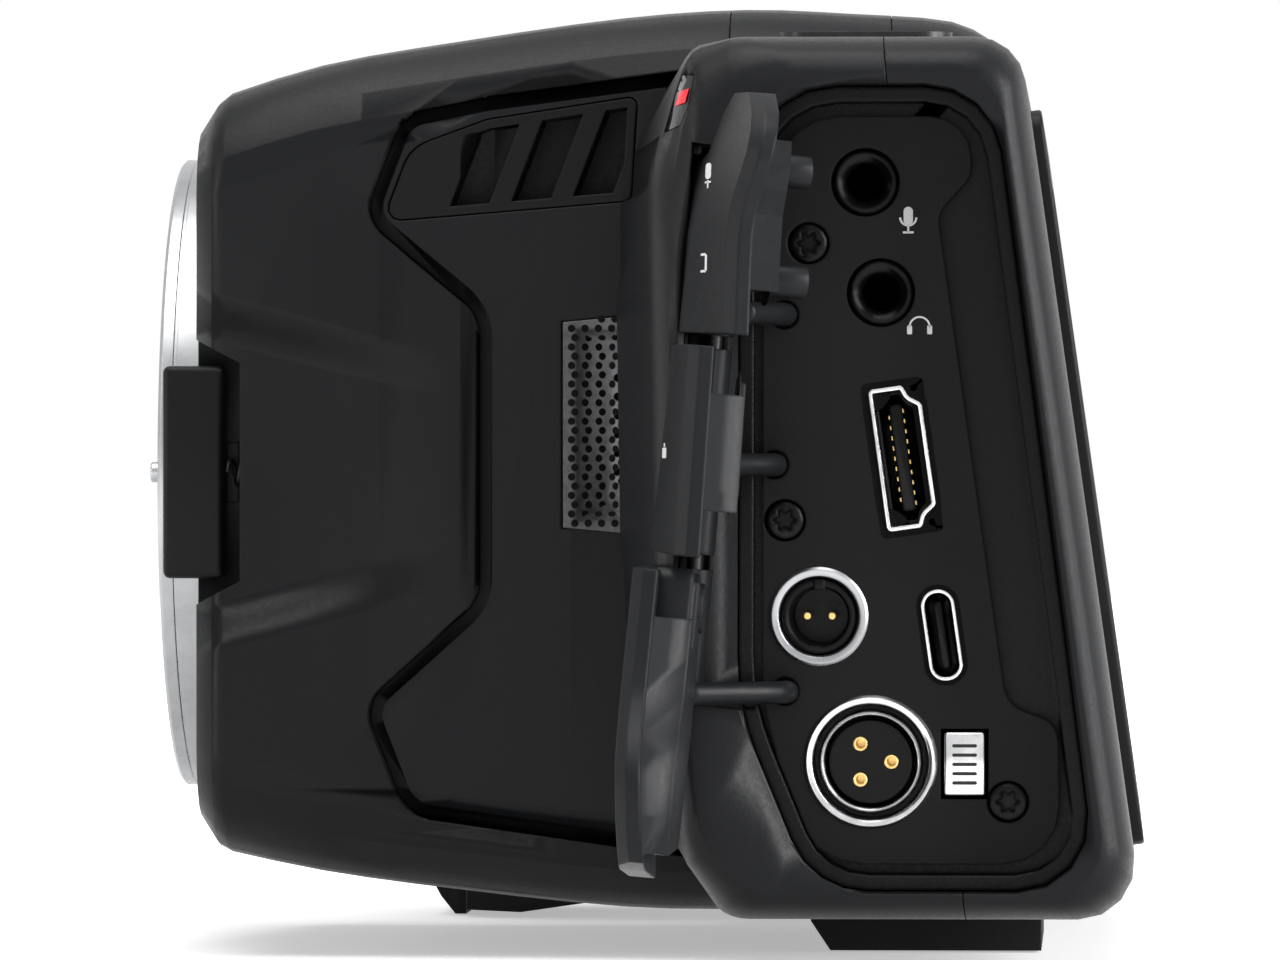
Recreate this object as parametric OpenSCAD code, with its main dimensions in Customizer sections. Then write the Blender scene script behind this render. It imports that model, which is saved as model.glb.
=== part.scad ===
// Compact digital cinema camera with a bayonet lens mount, a side connector bay with three
// hinged rubber doors, a hand grip and a tilted rear screen.
// X points to the camera's left, Y to its rear and Z up. The origin is the mouth of the
// tripod thread, on the plane that the camera stands on.

/* [Body] */
// Overall width across both wing ends
body_w = 178; // [165:1:200]
// Depth of the wing, front face to rear foot
wing_depth = 50; // [45:0.5:60]
// Height of the wing
wing_height = 85.4; // [76:0.2:100]
// Height of the wing's underside above the standing plane
wing_lift = 5.9; // [5:0.1:8]
// Depth over which each wing end rounds off
end_round = 7; // [6:0.5:9]
// Distance from the lens flange back to the wing's front
flange_to_wing = 50.4; // [46:0.2:56]
// Distance from the lens flange back to the tripod thread
flange_to_thread = 78.3; // [74:0.2:84]
// Gap along the parting lines of the casing
seam_gap = 0.1; // [0.05:0.05:0.2]

/* [Throat] */
// Width of the throat's front face
throat_w = 76; // [72:1:84]
// Height of the throat's front face
throat_h = 76; // [72:1:84]
// Length of the throat and the hump behind it
throat_len = 68; // [60:1:76]
// Distance from the lens flange back to the throat's front face
flange_to_throat = 4.2; // [3.5:0.1:5]
// Corner radius of the throat
throat_corner = 10; // [7:0.5:14]
// Bevel around the throat's front face
throat_bevel = 1.8; // [1:0.1:2.5]
// Height of the optical axis above the standing plane
axis_z = 49.2; // [47:0.1:56]

/* [Lens mount] */
// Outer radius of the mount ring
ring_r = 32.9; // [31.5:0.1:34]
// Radius of the ring's front face, inside its bevel
ring_face_r = 31.25; // [30.5:0.05:31.4]
// Radius of the bayonet bore
mount_bore_r = 27.1; // [26.5:0.05:27.5]
// Radius inside the three bayonet tabs
tab_r = 25.3; // [24.5:0.1:26]
// Thickness of the bayonet tabs
tab_t = 1.4; // [1:0.1:2]
// Angle that each bayonet tab covers
tab_angle = 62; // [50:1:70]
// Radius of the lock pin
lock_pin_r = 1.05; // [0.8:0.05:1.2]
// Travel of the lens release
release_travel = 1.2; // [1:0.1:1.4]

/* [Connector bay] */
// Depth of the connector panel below the wing's end
panel_drop = 7; // [6.5:0.1:8]
// Thickness of the connector panel
panel_t = 2.5; // [2:0.1:3]
// Lean of the door hinge line
hinge_lean = 5; // [3:0.5:6]
// Distance from the hinge line to the doors' outer face
door_reach = 4.4; // [4:0.1:4.6]
// Thickness of a door's outer skin
door_skin = 2.4; // [2:0.1:2.6]
// Opening angles of the upper, middle and lower doors
door_open = [75.5, 83, 90.5];
// Radius of the door hinge rod
hinge_r = 0.75; // [0.6:0.05:0.9]

/* [Sockets] */
// Bore radius of the two 3.5 mm jacks
jack_r = 1.8; // [1.75:0.05:1.9]
// Length of the display socket's shell
display_l = 14.3; // [14:0.1:15]
// Height of the display socket's shell
display_h = 5; // [4.6:0.1:5.4]
// Length of the data socket's shell
data_l = 8.9; // [8.6:0.1:9.2]
// Height of the data socket's shell
data_h = 3.3; // [3.1:0.1:3.5]
// Outer radius of the power socket's flange
power_r = 4.85; // [4.5:0.05:5.2]
// Bore radius of the power socket
power_bore_r = 2.8; // [2.6:0.05:3]
// Outer radius of the audio socket's ring
audio_r = 6.65; // [6.2:0.05:6.9]
// Radius of the audio socket's insulator
insert_r = 4; // [3.8:0.05:4.2]

/* [Screen] */
// Width of the screen frame
screen_w = 124; // [116:1:132]
// Height of the screen frame along the slope
screen_h = 73; // [68:0.5:76]
// Height of the screen frame above the rear face
screen_proud = 1.1; // [0.8:0.1:1.5]

/* [Fastenings] */
// Core radius of the tripod and top threads
thread_r = 2.55; // [2.5:0.05:2.65]
// Depth of the tripod thread
thread_depth = 5.5; // [5:0.1:6.5]
// Running clearance of a pin in its bore
pin_clear = 0.05; // [0.03:0.01:0.08]
// Gap around a piece that moves
move_clear = 0.3; // [0.25:0.05:0.4]
// Gap around a piece that is fitted
fit_clear = 0.15; // [0.1:0.05:0.2]
// Travel of the push buttons
button_travel = 0.8; // [0.6:0.1:1]

/* [Hidden] */

// Overrun of cutting solids
over = 1;
// Steps of each rounded corner
arc_steps = 4;
half_w = body_w / 2;
flange_y = -flange_to_thread;
wing_y = flange_y + flange_to_wing;
throat_y = flange_y + flange_to_throat;
panel_x = half_w - panel_drop;
body_span = body_w + wing_height + throat_len;

// Throat liner, sensor and boards
liner_r = 30.8;
liner_wall = 2.4;
liner_back_share = 0.52;
core_w = 62;
core_h = 60;
board_t = 1.6;
sensor_size = [36, 1.8, 30];
glass_size = [31, 1, 25];
aperture = [27, 19];
fan_size = [40, 8, 40];
liner_back = throat_y + liner_back_share * throat_len;
sensor_y = liner_back + glass_size[1];
board_y = sensor_y + sensor_size[1];
fan_y = board_y + board_t;
core_back = fan_y + fan_size[1] + fit_clear;

// Connector bay and doors
bay_floor = 1.6;
bay_wall = 1.4;
bay_wall_drop = 5.4;
door_inset = 0.5;
door_root_share = 0.4;
rim_x = half_w - bay_wall_drop;
bay_floor_x = panel_x - panel_t - bay_floor;
hinge_x = half_w - door_inset - door_reach;
hinge_share = 0.074;

// Corners of the wing's section as shares of its depth and height, with the radius as a
// share of its depth, running up the rear and down the front
wing_shares = [
    [0.2, 0, 0.1], [1, 0, 0.11], [0.76, 1, 0.1], [0.218, 1, 0.2],
    [0.06, 0.985, 0.12], [-0.055, 0.85, 0.3], [-0.04, 0.282, 0.4], [0.04, 0.077, 0.12]
];
end_shares = [
    [0.258, 0.029, 0.08], [0.934, 0.029, 0.1], [0.72, 0.957, 0.1], [0.278, 0.957, 0.18],
    [0.138, 0.85, 0.24], [0.08, 0.704, 0.4], [0.072, 0.282, 0.4], [0.128, 0.1, 0.16]
];
// Seam between the front and rear shells at the bottom and top of the wing
seam_shares = [0.656, 0.497];
// Stations along the throat: place, half width, underside and top, the last three as
// shares of half the front face and measured from the optical axis
throat_shares = [
    [0, 1, -1.005, 0.995], [0.182, 1.01, -1.074, 1.097], [0.4, 1.03, -1.126, 1.163],
    [0.641, 1.06, -1.168, 1.221], [0.821, 1.06, -1.174, 1.242], [0.98, 1.04, -1.174, 1.232],
    [1.13, 1, -1.174, 1.212], [1.2, 0.94, -1.12, 1.15]
];
throat_steps = 3;
// The S-shaped parting line on the throat's side, as shares of the throat's length and
// half height, from the wing's top forward, down and back to its foot
parting_shares = [
    [0.9, 1.109, 0.02], [0.436, 1.003, 0.3], [0.31, 0.958, 0.1], [0.25, 0.68, 0.1],
    [0.425, 0.42, 0.12], [0.425, -0.34, 0.12], [0.25, -0.62, 0.1], [0.315, -0.92, 0.12],
    [0.9, -1.066, 0.02]
];
bevel_share = 1.6;
cover_end_share = 0.8;
groove_w = 1.5;
groove_depth = 3;
side_inset = 0.9;

function wy(s) = wing_y + s * wing_depth;
function wz(s) = wing_lift + s * wing_height;
function ty(s) = throat_y + s * throat_len;
function tz(s) = axis_z + s * throat_h / 2;

function unit(v) = v / norm(v);
function flat(p) = [p[0], p[1]];

// Points of the arc of radius r that rounds the corner q between p and s
function arc_at(p, q, s, r, n) =
    let (
        u = unit(p - q),
        w = unit(s - q),
        half = acos(u * w) / 2,
        centre = q + unit(u + w) * r / sin(half),
        a = q + u * r / tan(half) - centre,
        b = q + w * r / tan(half) - centre,
        sweep = 180 - 2 * half
    )
    [for (k = [0:n]) centre + (a * sin(sweep * (1 - k / n)) + b * sin(sweep * k / n)) / sin(sweep)];

function rounded(c, n = arc_steps) =
    let (m = len(c))
    [for (i = [0:m - 1])
        each arc_at(flat(c[(i + m - 1) % m]), flat(c[i]), flat(c[(i + 1) % m]), c[i][2], n)];

function mixed(a, b, k) = [for (i = [0:len(a) - 1]) a[i] * (1 - k) + b[i] * k];

// Corners in wing shares as places
function wing_corners(shares) = [for (s = shares) [wy(s[0]), wz(s[1]), s[2] * wing_depth]];

// One row of a table between rows b and c, on a smooth curve through a, b, c and d
function between(a, b, c, d, u) =
    (2 * b + (c - a) * u + (2 * a - 5 * b + 4 * c - d) * u * u
        + (3 * b - 3 * c + d - a) * u * u * u) / 2;

function smoothed(rows, n) =
    let (m = len(rows) - 1)
    [for (i = [0:m - 1]) for (k = [0:i == m - 1 ? n : n - 1])
        between(rows[max(i - 1, 0)], rows[i], rows[i + 1], rows[min(i + 2, m)], k / n)];

// Skin over rings of points that turn anticlockwise seen from the last ring
module loft(rings) {
    n = len(rings[0]);
    m = len(rings);
    polyhedron(
        points = [for (ring = rings) each ring],
        faces = concat(
            [[for (i = [0:n - 1]) i]],
            [for (j = [0:m - 2]) for (i = [0:n - 1])
                each [[j * n + i, (j + 1) * n + i, (j + 1) * n + (i + 1) % n],
                      [j * n + i, (j + 1) * n + (i + 1) % n, j * n + (i + 1) % n]]],
            [[for (i = [n - 1:-1:0]) (m - 1) * n + i]]
        )
    );
}

// Outline in Y and Z drawn out along X
module along_x(from, to) {
    translate([from, 0, 0])
        rotate([90, 0, 90])
            linear_extrude(to - from)
                children();
}

module box_between(low, high) {
    translate(low)
        cube(high - low);
}

// Cylinder along Y that starts at its base and runs back
module rod_y(r, l) {
    rotate([-90, 0, 0])
        cylinder(r = r, h = l, $fn = 48);
}

module rod_x(r, l) {
    rotate([0, 90, 0])
        cylinder(r = r, h = l, $fn = 48);
}

module both_sides() {
    children();
    mirror([1, 0, 0])
        children();
}

// Main forms of the casing

function wing_ring(x, k) =
    [for (p = rounded(mixed(wing_corners(wing_shares), wing_corners(end_shares), k)))
        [x, p[0], p[1]]];

module wing_form() {
    turns = [90, 72, 54, 36, 18, 0];
    straight = half_w - end_round;
    loft(concat(
        [for (t = turns) wing_ring(-straight - end_round * sin(t), 1 - cos(t))],
        [for (t = [0:18:90]) wing_ring(straight + end_round * sin(t), 1 - cos(t))]
    ));
}

// Section of the throat in X and Z, drawn in by an inset
function throat_ring(row, y, inset) =
    let (
        w = row[1] * throat_w / 2 - inset,
        low = tz(row[2]) + inset,
        high = tz(row[3]) - inset,
        r = throat_corner - inset
    )
    [for (p = rounded([[w, low, r], [w, high, r], [-w, high, r], [-w, low, r]], arc_steps + 1))
        [p[0], y, p[1]]];

module throat_form(inset = 0) {
    rows = smoothed(throat_shares, throat_steps);
    last = len(rows) - 1;
    bevel_y = throat_y + throat_bevel;
    loft(concat(
        [for (i = [last:-1:1]) throat_ring(rows[i], ty(rows[i][0]), inset)],
        [throat_ring(rows[0], bevel_y, inset)],
        [throat_ring(rows[0], throat_y, inset + throat_bevel * bevel_share)]
    ));
}

// Outline of the side panel behind the S-shaped line
function parting_corners() = [for (s = parting_shares) [ty(s[0]), tz(s[1]), s[2] * throat_h / 2]];

module side_panel_cut(grow) {
    both_sides()
        along_x(liner_r + move_clear * 2, half_w)
            offset(r = grow)
                polygon(rounded(parting_corners(), 5));
}

// Everything behind the seam between the shells
module behind_seam(gap) {
    lean = (seam_shares[1] - seam_shares[0]) * wing_depth / wing_height;
    low_y = wy(seam_shares[0]) + gap;
    along_x(-body_w, body_w)
        polygon([
            [low_y + lean * -wing_height, wing_lift - wing_height],
            [low_y + body_span, wing_lift - wing_height],
            [low_y + body_span, wing_lift + 2 * wing_height],
            [low_y + lean * 2 * wing_height, wing_lift + 2 * wing_height]
        ]);
}

// Front limit of what the throat cover wraps
module cover_zone(gap) {
    intersection() {
        throat_form(-gap);
        box_between(
            [-throat_w, throat_y - over, -over],
            [throat_w, ty(cover_end_share) + gap, axis_z + throat_h]
        );
    }
}

module core_cut() {
    translate([0, throat_y - over, axis_z])
        rod_y(liner_r + fit_clear, liner_back - throat_y + over);
    translate([-core_w / 2, liner_back - seam_gap, axis_z - core_h / 2])
        cube([core_w, core_back - liner_back + seam_gap, core_h]);
}

// Lens release pocket in the near side of the throat's front edge
release_size = [4.8, 6.2, 21.6];
release_front = 3.2;
release_slack = 0.5;
pocket_slope_share = 0.25;
arm_size = [7, 2, 5];

release_x = ring_r + move_clear;
release_y = throat_y - release_front;
release_floor = release_y + release_size[1] + release_travel + release_slack;
arm_floor = throat_y + move_clear + arm_size[1] + release_travel + release_slack;
lock_pin_x = (mount_bore_r + ring_face_r) / 2;
arm_x = lock_pin_x - lock_pin_r - move_clear;
spring_r = 1.5;
spring_wire_r = 0.25;
spring_turns = 4;
spring_nest = 4;
spring_x = release_x + release_size[0] / 2;

module release_cut() {
    half = release_size[2] / 2;
    reach = half * (1 + pocket_slope_share);
    along_x(release_x - move_clear, throat_w)
        polygon([
            [throat_y - over, axis_z - reach], [throat_y, axis_z - reach],
            [release_floor, axis_z - half - move_clear],
            [release_floor, axis_z + half + move_clear],
            [throat_y, axis_z + reach], [throat_y - over, axis_z + reach]
        ]);
    arm_cut(release_x + over);
}

// Slot for the arm of the release, from the lock pin out to a given width
module arm_cut(to_x) {
    half = arm_size[2] / 2 + move_clear;
    box_between(
        [lock_pin_x - lock_pin_r - 2 * move_clear, throat_y - over, axis_z - half],
        [to_x, arm_floor, axis_z + half]
    );
}

module spring_cut() {
    translate([spring_x, release_floor - over, axis_z])
        rod_y(spring_r + move_clear, spring_nest + over);
}

// Louvre bank behind the throat's side
louvre_shares = [
    [0.284, 0.671, 0.03], [0.655, 0.724, 0.02], [0.664, 1.0, 0.02], [0.44, 0.94, 0.1],
    [0.325, 0.865, 0.1]
];
louvre_pitch = 6.1;
louvre_gap = 3.9;
louvre_lean = 21;
louvre_count = 4;
louvre_start_share = 0.37;
louvre_rim = 0.9;
louvre_floor = 1;
louvre_back = liner_r + 2 * move_clear;

function louvre_corners() = [for (s = louvre_shares) [ty(s[0]), tz(s[1]), s[2] * throat_h / 2]];

module louvre_outline(grow) {
    offset(delta = grow)
        polygon(rounded(louvre_corners(), 3));
}

module louvre_cut() {
    both_sides()
        along_x(louvre_back, throat_w)
            louvre_outline(fit_clear);
}

// Microphone dishes in the corners between throat and wing
dish_turn = 32;
dish_share = 0.563;
dish_floor_size = [8, 20];
dish_mouth_size = [13, 27];
dish_depth = 4;
dish_wall = 0.8;
dish_x = throat_w / 2 + throat_bevel;
dish_y_share = -0.016;
dish_reach = 10;
mic_hole_r = 0.4;
mic_pitch = 1.1;

module on_dish() {
    translate([dish_x, wy(dish_y_share), wz(dish_share)])
        rotate([0, 0, -dish_turn])
            rotate([90, 0, 90])
                children();
}

// Six-sided outline of a dish, level with its floor at share 0 and its mouth at share 1
function dish_ring(size, h) =
    let (w = size[0] / 2, t = size[1] / 2, s = t - w / 2)
    [[w, -s, h], [w, s, h], [0, t, h], [-w, s, h], [-w, -s, h], [0, -t, h]];

module dish_body(grow, from, to) {
    wide = [2 * grow, 2 * grow];
    loft([
        dish_ring(dish_floor_size + wide, from),
        dish_ring(dish_mouth_size + wide, dish_depth),
        dish_ring(dish_mouth_size + wide, to)
    ]);
}

module dish_cut() {
    both_sides()
        on_dish()
            dish_body(fit_clear + dish_wall, -dish_wall - fit_clear, dish_reach);
}

// Hinge line of the doors: local Z runs up the line, local Y across the bay
function hinge_y(z) = wy(hinge_share) + (z - wing_lift) * tan(hinge_lean);

module on_hinge() {
    translate([hinge_x, wy(hinge_share), wing_lift])
        rotate([-hinge_lean, 0, 0])
            children();
}

// Corners of the bay's mouth and of the panel as shares of the wing
bay_shares = [
    [0.36, 0.032, 0.16], [0.914, 0.032, 0.14], [0.712, 0.944, 0.15], [0.27, 0.944, 0.17],
    [0.216, 0.8, 0.3], [0.214, 0.24, 0.5]
];
panel_shares = [
    [0.345, 0.062, 0.15], [0.84, 0.062, 0.11], [0.835, 0.222, 0.05], [0.735, 0.242, 0.06],
    [0.602, 0.8, 0.05], [0.668, 0.842, 0.045], [0.666, 0.91, 0.08], [0.31, 0.91, 0.12],
    [0.264, 0.76, 0.24], [0.262, 0.25, 0.4]
];

module bay_outline(grow = 0) {
    offset(delta = grow)
        polygon(rounded(wing_corners(bay_shares)));
}

module panel_outline(grow = 0) {
    offset(delta = grow)
        polygon(rounded(wing_corners(panel_shares)));
}

// Lower and upper end of each door along the wing's height, where its hinge barrel starts
// and ends, and how far its lower edge climbs towards the free edge
door_end_shares = [[0.66, 0.938], [0.412, 0.652], [0.034, 0.402]];
barrel_shares = [[0.66, 0.87], [0.412, 0.652], [0.25, 0.402]];
door_slant = [1.8, 0, 0];
// Front edge, free edge and height of the outer face at each height of the wing
door_front_shares = [
    [0.03, 0.5], [0.05, 0.4], [0.095, 0.32], [0.142, 0.282], [0.19, 0.258], [0.24, 0.24],
    [0.25, 0.13], [0.63, 0.185], [0.85, 0.25], [0.87, 0.32], [0.9, 0.34], [0.925, 0.37],
    [0.94, 0.43]
];
door_edge_shares = [
    [0.03, 0.6], [0.036, 0.68], [0.05, 0.76], [0.075, 0.815], [0.105, 0.838],
    [0.15, 0.85], [0.19, 0.845], [0.224, 0.8], [0.265, 0.752], [0.338, 0.732],
    [0.484, 0.696], [0.657, 0.658], [0.75, 0.636], [0.803, 0.634], [0.835, 0.664],
    [0.862, 0.678], [0.891, 0.664], [0.92, 0.62], [0.938, 0.54]
];
door_reach_shares = [
    [0.03, 0.5], [0.07, 0.66], [0.12, 0.8], [0.2, 0.95], [0.26, 1], [0.78, 1],
    [0.83, 0.9], [0.88, 0.72], [0.94, 0.5]
];
door_bevel = 1.1;
door_step = 1.2;
block_start_share = 0.27;
block_margin = 2.2;
block_gap = 0.6;
hinge_gap = 0.35;
knuckle_r = 1.8;
rod_hold = 2;
door_swing_gap = 0.8;

function reach_at(s) = door_reach * lookup(s, door_reach_shares);

// Part of a drum around the hinge line between two heights
drum_sweep = 180;
drum_spare = 10;

module drum(low, high, grow, from, sweep) {
    steps = 6;
    z = [for (k = [0:steps]) low + (high - low) * k / steps];
    rotate([0, 0, from])
        rotate_extrude(angle = sweep, $fn = 48)
            polygon(concat(
                [[0, wing_height * low - grow], [0, wing_height * high + grow]],
                [for (k = [steps:-1:0]) [
                    reach_at(z[k]) + grow,
                    wing_height * z[k] + (k == 0 ? -grow : k == steps ? grow : 0)
                ]]
            ));
}

module hinge_cut() {
    low = barrel_shares[2][0];
    high = barrel_shares[0][1];
    on_hinge() {
        drum(low, high, hinge_gap, -drum_sweep - drum_spare, drum_sweep + drum_spare);
        translate([0, -door_reach - 2 * hinge_gap, wing_height * low - hinge_gap])
            cube([
                door_reach + over, door_reach + 2 * hinge_gap + over,
                wing_height * (high - low) + 2 * hinge_gap + 2 * seam_gap
            ]);
        translate([-knuckle_r - move_clear, -over / 2, wing_height * low - hinge_gap])
            cube([
                knuckle_r + door_reach + 2 * over, door_reach + 3 * over,
                wing_height * (high - low) + 2 * hinge_gap + seam_gap
            ]);
        translate([0, 0, wing_height * low - rod_hold - fit_clear])
            cylinder(
                r = hinge_r + fit_clear,
                h = wing_height * (high - low) + 2 * (rod_hold + fit_clear), $fn = 32
            );
    }
}

// Places of the sockets and screws on the panel, as shares of the wing
mic_share = [0.462, 0.835];
headphone_share = [0.492, 0.71];
display_share = [0.533, 0.523];
power_share = [0.372, 0.343];
data_share = [0.61, 0.322];
audio_share = [0.472, 0.178];
tab_share = [0.654, 0.176];
screw_shares = [[0.738, 0.133], [0.352, 0.766], [0.306, 0.452]];
tether_shares = [[0.306, 0.685], [0.286, 0.515], [0.306, 0.258]];
socket_lean = 8;
socket_proud = 0.3;
socket_depth = 12;
socket_wall = 0.5;
jack_ring_r = 3.15;
power_body_r = 4.3;
tab_size = [3, 4, 6.2];
tab_travel = 0.8;
screw_r = 1.9;
screw_l = 3;
tether_r = 1.1;

module at_panel(share) {
    translate([panel_x, wy(share[0]), wz(share[1])])
        children();
}

// Upright capsule with flat ends, drawn along X from a depth below the panel
module capsule_x(length, height, from, to) {
    r = height / 2;
    along_x(from, to)
        offset(r = r - fit_clear)
            square([2 * fit_clear, length - 2 * r + 2 * fit_clear], center = true);
}

// Display socket's outline: a flat side towards the rear and a narrower front side
module display_shape(grow) {
    l = display_l / 2 + grow;
    h = display_h / 2 + grow;
    polygon([
        [h, l], [h, -l], [0, -l], [-h, -l + display_h / 2], [-h, l - display_h / 2], [0, l]
    ]);
}

module socket_cut(deep) {
    for (s = [mic_share, headphone_share])
        at_panel(s)
            translate([-deep, 0, 0])
                rod_x(jack_ring_r + fit_clear, deep + over);
    at_panel(power_share)
        translate([-deep, 0, 0])
            rod_x(power_body_r + fit_clear, deep + over);
    at_panel(audio_share)
        translate([-deep, 0, 0])
            rod_x(audio_r - 2 * socket_wall + fit_clear, deep + over);
    at_panel(display_share)
        rotate([socket_lean, 0, 0])
            along_x(-deep, over)
                display_shape(fit_clear);
    at_panel(data_share)
        rotate([socket_lean, 0, 0])
            capsule_x(data_l + 2 * fit_clear, data_h + 2 * fit_clear, -deep, over);
    at_panel(tab_share)
        translate([-deep, -tab_size[1] / 2 - move_clear, -tab_size[2] / 2 - move_clear])
            cube([deep + over, tab_size[1] + 2 * move_clear, tab_size[2] + 2 * move_clear]);
}

// Hand grip, battery and card bays on the camera's right
grip_shares = [
    [0, 0.78, 0.12], [0.12, 0.9, 0.04], [0.32, 0.97, 0.02], [0.55, 1, 0.02], [0.78, 0.92, 0.03],
    [0.9, 0.76, 0.06], [0.95, 0.6, 0.1]
];
grip_w = 40;
grip_reach = 33;
grip_corner = 13;
grip_root = 9;
battery_size = [21, 38, 57];
battery_inset = 9;
battery_x = battery_inset - half_w;
battery_front = 24.6;
battery_lift = 6.2;
battery_door_low = 5.6;
lip_reach_share = 0.88;
lip_side = 2;
// Profile of the lip in front of the battery door, then of the door behind it, as shares
// of their length and of the door's upper face
lip_shares = [
    [0.32, 1.96], [0.03, 1.16], [0.01, 0.79], [0.32, 0.36], [0.71, 0], [1, 0], [1, 1.96]
];
battery_door_shares = [[0, 1], [0, 0.12], [0.15, 0.07], [0.44, 0.375], [1, 0.7], [1, 1]];
card_size = [2, 18, 48];
card_y_share = 0.33;
card_z_share = 0.26;
card_depth = 14;
slot_w = 3.4;
card_pin_r = 0.6;
card_pin_l = 1.2;
door_hinge_r = 1.4;
door_pin_r = 0.8;
door_lug_w = 3;
door_axis_back = 2.6;
door_axis_drop = 0.6;

battery_y = wing_y - battery_front;
battery_z = battery_lift;
card_y = wy(card_y_share);
card_z = wz(card_z_share);

module grip_form() {
    rows = smoothed(grip_shares, 3);
    rear = wing_y + grip_root;
    loft([for (row = rows)
        let (
            side = row[2] * grip_w,
            low_x = -half_w + side,
            high_x = -half_w + grip_w - side / 2,
            front = wing_y - row[1] * grip_reach,
            r = grip_corner * row[1]
        )
        [for (p = rounded([
            [high_x, rear, over], [low_x, rear, over], [low_x, front, r], [high_x, front, r]
        ]))
            [p[0], p[1], wz(row[0])]]
    ]);
}

module battery_lip() {
    front = wing_y - lip_reach_share * grip_reach;
    rear = battery_y - move_clear;
    along_x(battery_x + lip_side, battery_x + battery_size[0] - lip_side)
        polygon([for (s = lip_shares)
            [front + s[0] * (rear - front), s[1] * battery_door_low]]);
}

module battery_cut() {
    translate([
        battery_x - fit_clear, battery_y - fit_clear,
        battery_door_low
    ])
        cube([
            battery_size[0] + 2 * fit_clear, battery_size[1] + 2 * fit_clear,
            battery_size[2] + battery_lift - battery_door_low + fit_clear
        ]);
}

module card_cut() {
    translate([-half_w - over, card_y - card_size[0] / 2 - move_clear, card_z - move_clear])
        cube([
            card_size[0] + fit_clear + over, card_size[1] + card_size[0] / 2 + 2 * move_clear,
            card_size[2] + 2 * move_clear
        ]);
    for (k = [0, 1])
        translate([-half_w, card_y + slot_w + k * 2 * slot_w, card_z + slot_w])
            cube([card_depth, slot_w, card_size[2] - 2 * slot_w]);
    translate([-half_w + card_size[0] / 2, card_y, card_z - 2 * move_clear - card_pin_l])
        cylinder(r = card_pin_r + move_clear, h = card_size[2] + 4 * move_clear + 2 * card_pin_l, $fn = 32);
}

// Rear face: local Y points out of it and local Z up its slope
rear_lean = atan((wing_shares[1][0] - wing_shares[2][0]) * wing_depth / wing_height);
screen_x = 4;
screen_pocket = 2.4;
screen_corner = 2;
glass_margin = 4.5;
glass_t = 1.2;
glass_drop = 0.3;
button_r = 3.2;
button_l = 2.6;
button_proud = 0.7;
rear_button_inset = 16;
rear_button_x = rear_button_inset - half_w;
rear_button_ups = [21, 8, -8, -21];

module on_rear() {
    translate([0, wy((wing_shares[1][0] + wing_shares[2][0]) / 2), wz(0.5)])
        rotate([rear_lean, 0, 0])
            children();
}

// Plate with rounded corners that lies in the rear face, drawn out along its normal
module rear_plate(w, h, r, from, to) {
    translate([screen_x, from, 0])
        rotate([-90, 0, 0])
            linear_extrude(to - from)
                offset(r = r)
                    square([w - 2 * r, h - 2 * r], center = true);
}

// Controls on the wing's top and on the grip
pill_size = [5, 3];
pill_y_share = 0.59;
pill_insets = [35, 25, 15];
switch_slot = [9, 4];
switch_inset = 39;
switch_x = switch_inset - half_w;
switch_y_share = 0.35;
switch_travel = 1.75;
switch_knob = [4, 3, 3.4];
grip_button_r = [4.5, 3];
grip_button_insets = [19, 31];
grip_button_share = 0.4;
wheel_r = 7;
wheel_w = 5;
wheel_inset = 19;
wheel_x = wheel_inset - half_w;
wheel_share = 0.79;
wheel_pin_r = 0.9;
wheel_pin_l = 1.6;
wheel_groove_lift = 0.2;
wheel_groove_r = 0.5;
wheel_reach_share = 0.77;

grip_top = wz(0.95);
wing_top = wz(1);
wheel_y = wing_y - wheel_reach_share * grip_reach;
wheel_z = wz(wheel_share);

// Rounded slot or key, standing up from the base of its cut
module pill(w, d, h) {
    hull() {
        translate([-(w - d) / 2, 0, 0])
            cylinder(r = d / 2, h = h, $fn = 32);
        translate([(w - d) / 2, 0, 0])
            cylinder(r = d / 2, h = h, $fn = 32);
    }
}

module at_pill(k) {
    translate([pill_insets[k] - half_w, wy(pill_y_share), wing_top + button_proud - button_l])
        children();
}

module button_cut() {
    for (k = [0:2])
        at_pill(k)
            translate([0, 0, -button_travel - fit_clear])
                pill(pill_size[0] + 2 * move_clear, pill_size[1] + 2 * move_clear, 2 * button_l);
    translate([switch_x, wy(switch_y_share), wing_top - switch_knob[2] + over])
        pill(
            switch_slot[0] + 2 * move_clear, switch_slot[1] + 2 * move_clear,
            switch_knob[2] + over
        );
    for (up = rear_button_ups)
        on_rear()
            translate([rear_button_x, button_proud - button_l - button_travel - fit_clear, up])
                rod_y(button_r + move_clear, 2 * button_l);
}

module screen_cut() {
    on_rear()
        rear_plate(
            screen_w + 2 * fit_clear, screen_h + 2 * fit_clear, screen_corner + fit_clear,
            -screen_pocket - seam_gap, screen_pocket
        );
}

// Foot pad and top mount plate
pad_size = [44, 23.7, 4.6];
pad_start_share = 0.5;
boss_r = 6;
boss_h = 4.4;
plate_size = [24, 9.6];
plate_t = 1;
plate_y_share = 0.325;
plate_top_share = 1.232;
plate_boss_r = 4.2;
plate_boss_l = 8;
top_thread_depth = 7;

plate_y = wy(plate_y_share);
plate_z = max(tz(plate_top_share), wing_top);

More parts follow.
